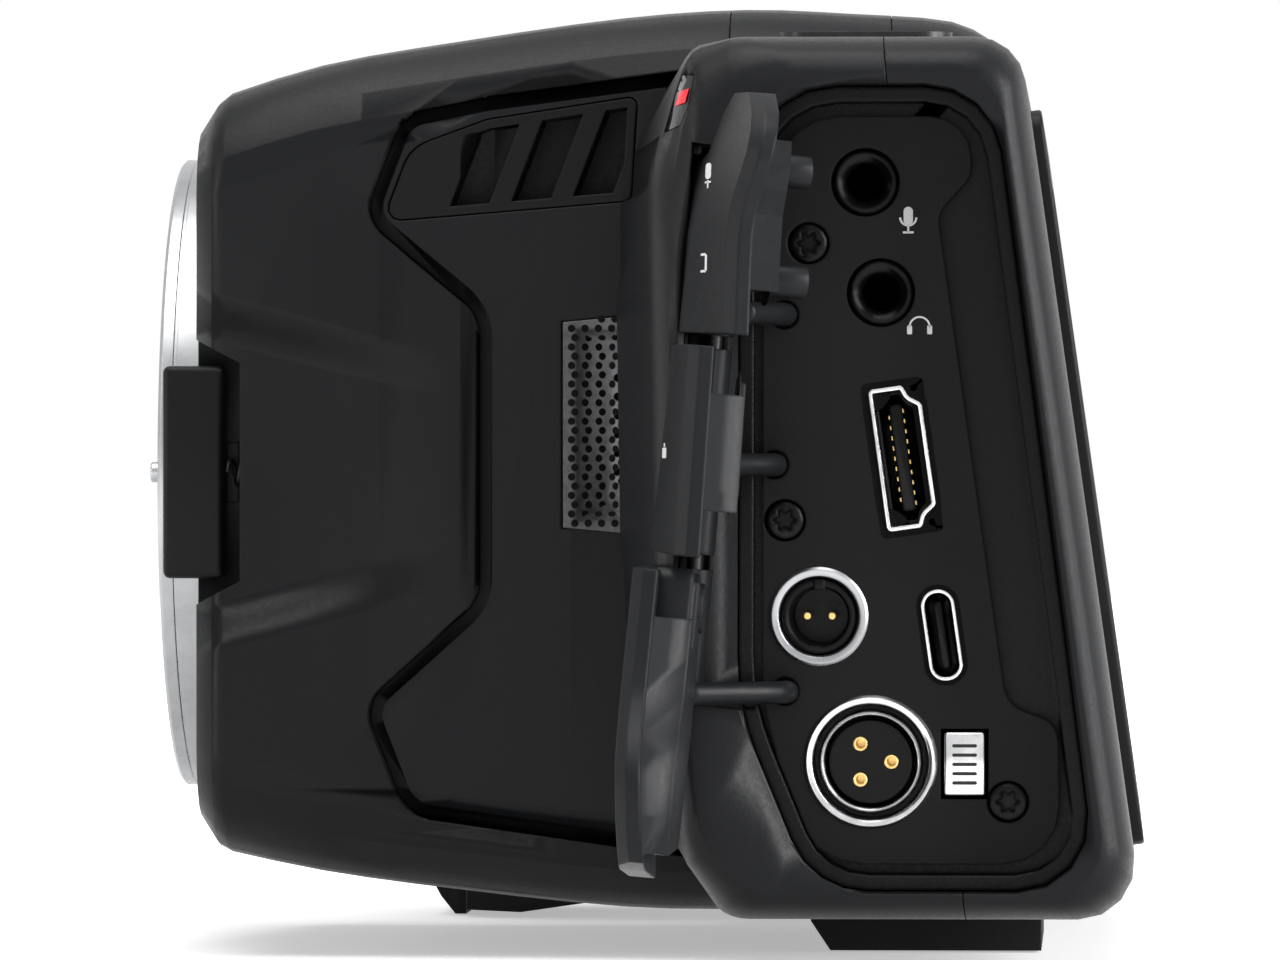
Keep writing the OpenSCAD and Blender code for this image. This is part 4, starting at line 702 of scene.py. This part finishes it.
# Power inlet: satin flange and black insulator with a key groove, around the frame's own gold pins
powerPlan = {
    "centre": (-0.0093, 0.03519),
    "flange": [
        (0.0801, 0.00375), (0.0819, 0.00375), (0.0822, 0.00395), (0.08228, 0.0042), (0.08228, 0.00455),
        (0.0821, 0.0048), (0.0817, 0.00485), (0.0801, 0.00485),
    ],
    "insulator": [
        (0.0705, 0.0), (0.0705, 0.00374), (0.0812, 0.00374), (0.0818, 0.0036), (0.08195, 0.0034),
        (0.08195, 0.003), (0.0817, 0.0028), (0.0722, 0.00276), (0.0722, 0.0),
    ],
    "steps": 64,
    "keySize": (0.0006, 0.0005, 0.0001),
    "keySpan": (0.0816, 0.08199),
    "keyAbove": 0.00305,
    "keyEdge": 0.00008,
}
flange = spinPiece("powerFlange", powerPlan["flange"], powerPlan["centre"], powerPlan["steps"])
finishPiece(flange, "casing", "bright", 35.0, "power_socket")
insulator = spinPiece("powerInsulator", powerPlan["insulator"], powerPlan["centre"], powerPlan["steps"])
finishPiece(insulator, "casing", "jack", 30.0, "power_socket")
keyCentre = (powerPlan["centre"][0], powerPlan["centre"][1] + powerPlan["keyAbove"])
keyGroove = platePiece(
    "powerKey", roundedBox(*powerPlan["keySize"], 2), *powerPlan["keySpan"], keyCentre,
    edge=powerPlan["keyEdge"],
)
finishPiece(keyGroove, "casing", "frame", stands="power_socket")

# Audio socket: outer and inner plated rings with a black gap between them
audioPlan = {
    "centre": (-0.0043, 0.0211),
    "outer": [
        (0.0702, 0.0055), (0.0815, 0.0055), (0.0821, 0.0057), (0.08228, 0.0060), (0.08228, 0.0062),
        (0.0820, 0.0065), (0.0816, 0.00665), (0.0702, 0.00665),
    ],
    "gap": [
        (0.0704, 0.0), (0.0704, 0.00549), (0.0786, 0.00549), (0.0786, 0.0050), (0.0709, 0.0050), (0.0709, 0.0),
    ],
    "inner": [
        (0.0712, 0.0043), (0.0806, 0.0043), (0.0811, 0.00445), (0.0813, 0.00465), (0.0811, 0.00485),
        (0.0806, 0.00499), (0.0712, 0.00499),
    ],
    "steps": 72,
}
outerRing = spinPiece("audioOuterRing", audioPlan["outer"], audioPlan["centre"], audioPlan["steps"])
innerRing = spinPiece("audioInnerRing", audioPlan["inner"], audioPlan["centre"], audioPlan["steps"])
audioRings = joinPieces("audioRings", [outerRing, innerRing])
finishPiece(audioRings, "casing", "chrome", 35.0, "audio_socket")
audioGap = spinPiece("audioGap", audioPlan["gap"], audioPlan["centre"])
finishPiece(audioGap, "casing", "jack", 35.0, "audio_socket")
print("round sockets modelled")

# The display and data sockets lean with the bay
leanAngle = math.radians(8.0)

# Display socket: bent sheet shell with its chamfered corners towards the rear, tongue and contacts
displayPlan = {
    "centre": (-0.00125, 0.05056),
    "outline": [
        (0.00262, 0.0048), (0.00245, 0.0051), (0.0016, 0.0057), (0.00135, 0.006), (0.00105, 0.00675),
        (0.0008, 0.00695), (-0.0020, 0.00695), (-0.0023, 0.0068), (-0.00242, 0.0065), (-0.00242, -0.0065),
        (-0.0023, -0.0068), (-0.0020, -0.00695), (0.0008, -0.00695), (0.00105, -0.00675), (0.00135, -0.006),
        (0.0016, -0.0057), (0.00245, -0.0051), (0.00262, -0.0048),
    ],
    # layers: how far the outline shrinks, X from and to, wall, edge radius
    "surround": (-0.00062, 0.0806, 0.08206, 0.00064, 0.0),
    "cornerSurround": (-0.0006, 0.0804, 0.08203, 0.0013, 0.0),
    "shell": (0.0, 0.0705, 0.08228, 0.00042, 0.00012),
    "inside": (0.00043, 0.0706, 0.0740, 0.0, 0.0001),
    "liner": (0.00044, 0.0740, 0.0819, 0.00038, 0.0001),
    "tongue": (0.0, 0.0739, 0.0812, 0.0, 0.0001),
    "tongueSize": (0.00065, 0.0052, 0.0002),
    "leafSize": (0.00008, 0.0002, 0.00004),
    "leafSpan": (0.0745, 0.0811),
    "leafRows": ((-1, 9), (1, 10)),
    "leafPitch": 0.001,
    "rowOffset": 0.0007,
}


def shrinkOutline(outline, amount):
    middle = [sum(corner[axis] for corner in outline) / len(outline) for axis in (0, 1)]
    half = [max(abs(corner[axis] - middle[axis]) for corner in outline) for axis in (0, 1)]
    share = [(size - amount) / size for size in half]
    return [
        (middle[0] + (y - middle[0]) * share[0], middle[1] + (z - middle[1]) * share[1]) for y, z in outline
    ]


def socketLayer(name, outline, centre, layer):
    shrink, fromX, toX, wall, edge = layer
    shape = shrinkOutline(outline, shrink) if shrink else outline
    return platePiece(name, shape, fromX, toX, centre, leanAngle, wall, edge)


def displayLayer(name, outline, layer):
    return socketLayer(name, outline, displayPlan["centre"], displayPlan[layer])


# Near-black surrounds of painted shade fill the opening around the shell; the second is mirrored like the
# frame's opening
shellOutline = displayPlan["outline"]
displayRing = joinPieces("displayRing", [
    displayLayer("displaySurround", shellOutline, "surround"),
    displayLayer("cornerSurround", [(-y, z) for y, z in shellOutline], "cornerSurround"),
])
finishPiece(displayRing, "casing", "paintedShade", stands="display_socket")
displayShell = displayLayer("displayShellRim", shellOutline, "shell")
finishPiece(displayShell, "casing", "chrome", 35.0, "display_socket")
displayCore = joinPieces("displayCore", [
    displayLayer("displayInside", shellOutline, "inside"),
    displayLayer("displayLiner", shellOutline, "liner"),
    displayLayer("displayTongue", roundedBox(*displayPlan["tongueSize"], 3), "tongue"),
])
finishPiece(displayCore, "casing", "jack", 35.0, "display_socket")
leaves = []
for row, count in displayPlan["leafRows"]:
    for k in range(count):
        along = (k - (count - 1) / 2) * displayPlan["leafPitch"]
        leaf = platePiece(
            "displayLeaf", roundedBox(*displayPlan["leafSize"], 2), *displayPlan["leafSpan"],
            displayPlan["centre"],
        )
        aside = row * displayPlan["rowOffset"]
        leaf.location.y += math.cos(leanAngle) * aside - math.sin(leanAngle) * along
        leaf.location.z += math.sin(leanAngle) * aside + math.cos(leanAngle) * along
        leaf.rotation_euler = (leanAngle, 0.0, 0.0)
        leaves.append(leaf)
finishPiece(joinPieces("displayLeaves", leaves), "casing", "gold", 35.0, "display_socket")

# Data socket: seamless plated oval with a centre tongue
dataPlan = {
    "centre": (0.0026, 0.0334),
    # layers: half sizes and corner, steps per corner, then as for the display socket
    "surround": ((0.0021, 0.0049, 0.00205), 10, (0.0, 0.0806, 0.08204, 0.0005, 0.0)),
    "shell": ((0.00165, 0.00445, 0.0016), 10, (0.0, 0.0705, 0.08228, 0.00036, 0.0001)),
    "inside": ((0.00128, 0.00408, 0.00125), 10, (0.0, 0.0706, 0.0745, 0.0, 0.0001)),
    "tongue": ((0.00035, 0.0032, 0.00015), 3, (0.0, 0.0744, 0.0814, 0.0, 0.0001)),
}


def dataLayer(name, part):
    size, steps, layer = dataPlan[part]
    return socketLayer(name, roundedBox(*size, steps), dataPlan["centre"], layer)


# The surround is near-black painted shade filling the opening around the plated oval
finishPiece(dataLayer("dataSurround", "surround"), "casing", "paintedShade", stands="data_socket")
finishPiece(dataLayer("dataShellRim", "shell"), "casing", "chrome", 35.0, "data_socket")
dataCore = joinPieces("dataCore", [dataLayer("dataInside", "inside"), dataLayer("dataTongue", "tongue")])
finishPiece(dataCore, "casing", "jack", 35.0, "data_socket")
print("plated sockets modelled")

# Panel screws: glossy domed heads with a six-lobed recess
screwPlan = {
    "centres": [(0.0090, 0.01726), (-0.0103, 0.07132), (-0.0126, 0.0445)],
    "head": [
        (0.0792, 0.0), (0.0792, 0.0019), (0.0817, 0.0019), (0.08195, 0.0017), (0.082, 0.0014), (0.082, 0.0),
    ],
    "star": (0.00118, 0.00068),
    "cut": (0.0805, 0.0825),
}


def starOutline(far, near, lobes=6, steps=4):
    outline = []
    total = lobes * steps * 2
    for k in range(total):
        turn = 2 * math.pi * k / total
        radius = (far + near) / 2 + (far - near) / 2 * math.cos(lobes * turn)
        outline.append((radius * math.cos(turn), radius * math.sin(turn)))
    return outline


screwHeads = []
for centre in screwPlan["centres"]:
    head = spinPiece("screwHead", screwPlan["head"], centre)
    cutter = platePiece("starCutter", starOutline(*screwPlan["star"]), *screwPlan["cut"], centre)
    applyPlace(cutter)
    applyPlace(head)
    applyModifier(head, "BOOLEAN", object=cutter, operation="DIFFERENCE", solver="EXACT")
    bpy.data.objects.remove(cutter, do_unlink=True)
    screwHeads.append(head)
screwSet = joinPieces("panelScrewHeads", screwHeads)
finishPiece(screwSet, "casing", "jack", 30.0, "panel_screws")
print("panel screws modelled")

# Generic white pictograms on the panel: a microphone and headphones
iconPlan = {
    "span": (0.08199, 0.08204),
    "strokes": [
        # name, outline, centre
        ("micHead", roundedBox(0.00045, 0.00088, 0.00044, 8), (-0.00065, 0.07395)),
        ("micCradle", arcBand(0.00068, 0.00088, 180.0, 360.0), (-0.00065, 0.0738)),
        ("micStem", roundedBox(0.0001, 0.0003, 0.00002, 2), (-0.00065, 0.07265)),
        ("micFoot", roundedBox(0.00052, 0.0001, 0.00002, 2), (-0.00065, 0.07236)),
        ("headBand", arcBand(0.00088, 0.00106, 0.0, 180.0), (0.00045, 0.0632)),
        ("nearCup", roundedBox(0.00024, 0.00042, 0.0001, 4), (-0.00052, 0.06292)),
        ("farCup", roundedBox(0.00024, 0.00042, 0.0001, 4), (0.00142, 0.06292)),
    ],
}
strokes = [
    platePiece(name, outline, *iconPlan["span"], centre) for name, outline, centre in iconPlan["strokes"]
]
finishPiece(joinPieces("panelIcons", strokes), "casing", "print")
print("pictograms modelled")

# Latch tab: five ribs across its face
ribPlan = {
    "size": (0.0012, 0.00016, 0.00015),
    "span": (0.0821, 0.08245),
    "centre": (0.0048, 0.0209),
    "pitch": 0.0009,
    "places": (-2, -1, 0, 1, 2),
}
ribs = []
for k in ribPlan["places"]:
    ribCentre = (ribPlan["centre"][0], ribPlan["centre"][1] + ribPlan["pitch"] * k)
    ribs.append(platePiece("tabRib", roundedBox(*ribPlan["size"], 3), *ribPlan["span"], ribCentre))
finishPiece(joinPieces("tabRibs", ribs), "latch_tab", "darkMetal")

# Microphone grilles: rows of thin near-black discs of painted shade, standing for the round holes, over the
# sunken dish
grillePlan = {
    "up": (0.0412, 0.0670),
    "along": (-0.0356, -0.0250),
    # half the distance between holes in a row, distance between rows
    "pitch": (0.00068, 0.00094),
    "radius": 0.00039,
    "proud": 0.00002,
    "sides": 10,
    "start": 0.07,
    "facing": 0.35,
}


def addHoleShade(node, side, plan):
    dish = surfaceOf(nodes[node].data)
    corners, faces = [], []
    ring = plan["sides"]
    rows = int((plan["up"][1] - plan["up"][0]) / plan["pitch"][1])
    columns = int((plan["along"][1] - plan["along"][0]) / plan["pitch"][0])
    for row in range(rows + 1):
        for column in range(0, columns + 1, 2):
            y = plan["along"][0] + (column + 0.5 * (row % 2)) * plan["pitch"][0]
            z = plan["up"][0] + row * plan["pitch"][1]
            start = Vector((side * plan["start"], y, z))
            place, normal = dish.ray_cast(start, Vector((-side, 0.0, 0.0)))[:2]
            if place is None or abs(normal.x) < plan["facing"]:
                continue
            across = normal.cross(Vector((0.0, 0.0, 1.0))).normalized()
            upward = across.cross(normal)
            first = len(corners)
            for level in (-plan["proud"], plan["proud"]):
                for k in range(ring):
                    turn = 2.0 * math.pi * k / ring
                    out = plan["radius"] * (math.cos(turn) * across + math.sin(turn) * upward)
                    corners.append(place + normal * level + out)
            faces.append([first + ring + k for k in range(ring)])
            faces.append([first + k for k in reversed(range(ring))])
            for k in range(ring):
                after = (k + 1) % ring
                faces.append([first + k, first + after, first + ring + after, first + ring + k])
    piece = newPiece(node + "Holes", corners, [], faces)
    faceOutward(piece)
    finishPiece(piece, "casing", "paintedShade")
    return len(faces)


for node, side in (("mic_grille_left", 1.0), ("mic_grille_right", -1.0)):
    print("grille holes", node, addHoleShade(node, side, grillePlan))

# Door plugs: modelled in the closed place, then swung open with their door
hinge = {
    "place": Vector((0.0841, -0.0242, 0.0059)),
    "axis": Vector((0.0, math.sin(math.radians(5.0)), math.cos(math.radians(5.0)))),
    # degrees between a door's closed and open places
    "swing": {"door_upper": 75.5, "door_mid": 83.0, "door_lower": 90.5},
}
plugPlan = {
    # X of the panel's cast, the plug's tip and the shoulder
    "panel": 0.0825,
    "tip": 0.0823,
    "shoulder": 0.0829,
    # how far a plug goes into its door, and how far the shoulder stands out around it
    "sunk": 0.0004,
    "wider": (0.0009, 0.0009, 0.0006),
    "edge": 0.0003,
    "plugs": [
        # door, centre, outline half sizes and corner, lean, reach into the socket
        ("door_upper", jackPlan["centres"]["mic_jack"], (0.0016, 0.0016, 0.00159), 0.0, 0.0032),
        ("door_upper", jackPlan["centres"]["headphone_jack"], (0.0016, 0.0016, 0.00159), 0.0, 0.0032),
        ("door_mid", displayPlan["centre"], (0.0015, 0.0058, 0.0006), leanAngle, 0.0),
        ("door_lower", dataPlan["centre"], (0.0010, 0.0036, 0.0008), leanAngle, 0.0),
        ("door_lower", powerPlan["centre"], (0.0024, 0.0024, 0.00239), 0.0, 0.0),
    ],
}


def swingMatrix(degrees):
    move = Matrix.Translation(hinge["place"])
    return move @ Matrix.Rotation(math.radians(degrees), 4, hinge["axis"]) @ move.inverted()


def addPlug(door, centre, size, lean, reach):
    opened = swingMatrix(-hinge["swing"][door])
    panelPoint = opened @ Vector((plugPlan["panel"], centre[0], centre[1]))
    outward = (opened.to_3x3() @ Vector((1.0, 0.0, 0.0))).normalized()
    gap = surfaceOf(nodes[door].data).ray_cast(panelPoint, outward)[3]
    if gap is None:
        print("plug misses", door, centre)
        return
    depth = gap + plugPlan["sunk"]
    print("plug", door, centre, "gap mm", round(depth * 1000, 2))
    toX = plugPlan["panel"] + depth
    shoulderSize = [length + wider for length, wider in zip(size, plugPlan["wider"])]
    edge = plugPlan["edge"]
    plug = platePiece(
        door + "Plug", roundedBox(*size, 8), plugPlan["tip"] - reach, toX, centre, lean, 0.0, edge
    )
    shoulder = platePiece(
        door + "Shoulder", roundedBox(*shoulderSize, 8), plugPlan["shoulder"], toX, centre, lean, 0.0, edge
    )
    piece = joinPieces(door + "Plug", [plug, shoulder])
    applyPlace(piece)
    piece.data.transform(opened)
    finishPiece(piece, door, "door", 35.0)


for plan in plugPlan["plugs"]:
    addPlug(*plan)
print("door plugs modelled")

# Floor, backdrop and lamps
studioPlan = {
    "white": (1.0, 1.0, 1.0, 1.0),
    "floorHalf": 3.0,
    "floorLevel": -0.0002,
    "floorColour": (0.86, 0.86, 0.86),
    "floorMottle": 0.01,
    "floorRough": 0.9,
    "floorSpecular": 0.1,
    # the floor's glow rises between two distances from the origin
    "floorGlow": (0.42, 1.1),
    "glowFrom": (0.1, 0.42),
    "worldLevel": 0.3,
    "lamps": [
        # name, place, aim, size, power
        ("topLamp", (0.25, -0.15, 1.1), (0.0, -0.02, 0.05), (0.9, 0.9), 11.0),
        ("frontLamp", (0.5, -1.15, 0.3), (0.03, -0.05, 0.05), (0.16, 0.9), 4.0),
        ("backStrip", (0.12, 1.15, 0.25), (0.09, 0.0, 0.05), (0.25, 0.9), 9.0),
        ("rearLamp", (0.55, 0.95, 0.35), (0.08, 0.02, 0.05), (0.3, 0.9), 17.0),
    ],
}


# White for the eye, metal and glass alike, while the floor keeps the object's shadow
def seenRays(tree):
    path = tree.nodes.new("ShaderNodeLightPath")
    glossyToo = addMath(tree, "MAXIMUM", path.outputs["Is Camera Ray"], path.outputs["Is Glossy Ray"])
    return addMath(tree, "MAXIMUM", glossyToo, path.outputs["Is Transmission Ray"])


def addFloor(plan):
    bpy.ops.object.select_all(action="DESELECT")
    bpy.ops.mesh.primitive_plane_add(size=2 * plan["floorHalf"], location=(0.0, 0.0, plan["floorLevel"]))
    floor = bpy.context.active_object
    floor.name = "studioFloor"
    material, tree, shader, place = startMaterial("paleFloor")
    cloud = addNoise(tree, place, 3.0, 2.0)
    low = tuple(channel - plan["floorMottle"] for channel in plan["floorColour"])
    tree.links.new(addRamp(tree, cloud, (low, plan["floorColour"])), shader.inputs["Base Color"])
    shader.inputs["Roughness"].default_value = plan["floorRough"]
    shader.inputs["Specular IOR Level"].default_value = plan["floorSpecular"]
    shader.inputs["Emission Color"].default_value = plan["white"]
    away = tree.nodes.new("ShaderNodeVectorMath")
    away.operation = "LENGTH"
    tree.links.new(place, away.inputs[0])
    level = addRange(tree, away.outputs["Value"], *plan["floorGlow"], *plan["glowFrom"], True)
    tree.links.new(addMath(tree, "MULTIPLY", seenRays(tree), level), shader.inputs["Emission Strength"])
    floor.data.materials.append(material)


def addWorld(plan):
    world = bpy.data.worlds.new("studio")
    scene.world = world
    world.use_nodes = True
    tree = world.node_tree
    tree.nodes.clear()
    output = tree.nodes.new("ShaderNodeOutputWorld")
    mix = tree.nodes.new("ShaderNodeMixShader")
    tree.links.new(seenRays(tree), mix.inputs["Fac"])
    # first what lights the object, then what is seen
    for slot, strength in ((1, plan["worldLevel"]), (2, 1.0)):
        sky = tree.nodes.new("ShaderNodeBackground")
        sky.inputs["Color"].default_value = plan["white"]
        sky.inputs["Strength"].default_value = strength
        tree.links.new(sky.outputs[0], mix.inputs[slot])
    tree.links.new(mix.outputs[0], output.inputs["Surface"])


def addLamp(name, place, aim, size, power):
    data = bpy.data.lights.new(name, "AREA")
    data.shape = "RECTANGLE"
    data.size, data.size_y = size
    data.energy = power
    lamp = bpy.data.objects.new(name, data)
    scene.collection.objects.link(lamp)
    lamp.location = place
    lamp.rotation_euler = (Vector(aim) - Vector(place)).to_track_quat("-Z", "Y").to_euler()


addFloor(studioPlan)
addWorld(studioPlan)
for plan in studioPlan["lamps"]:
    addLamp(*plan)
print("studio ready")
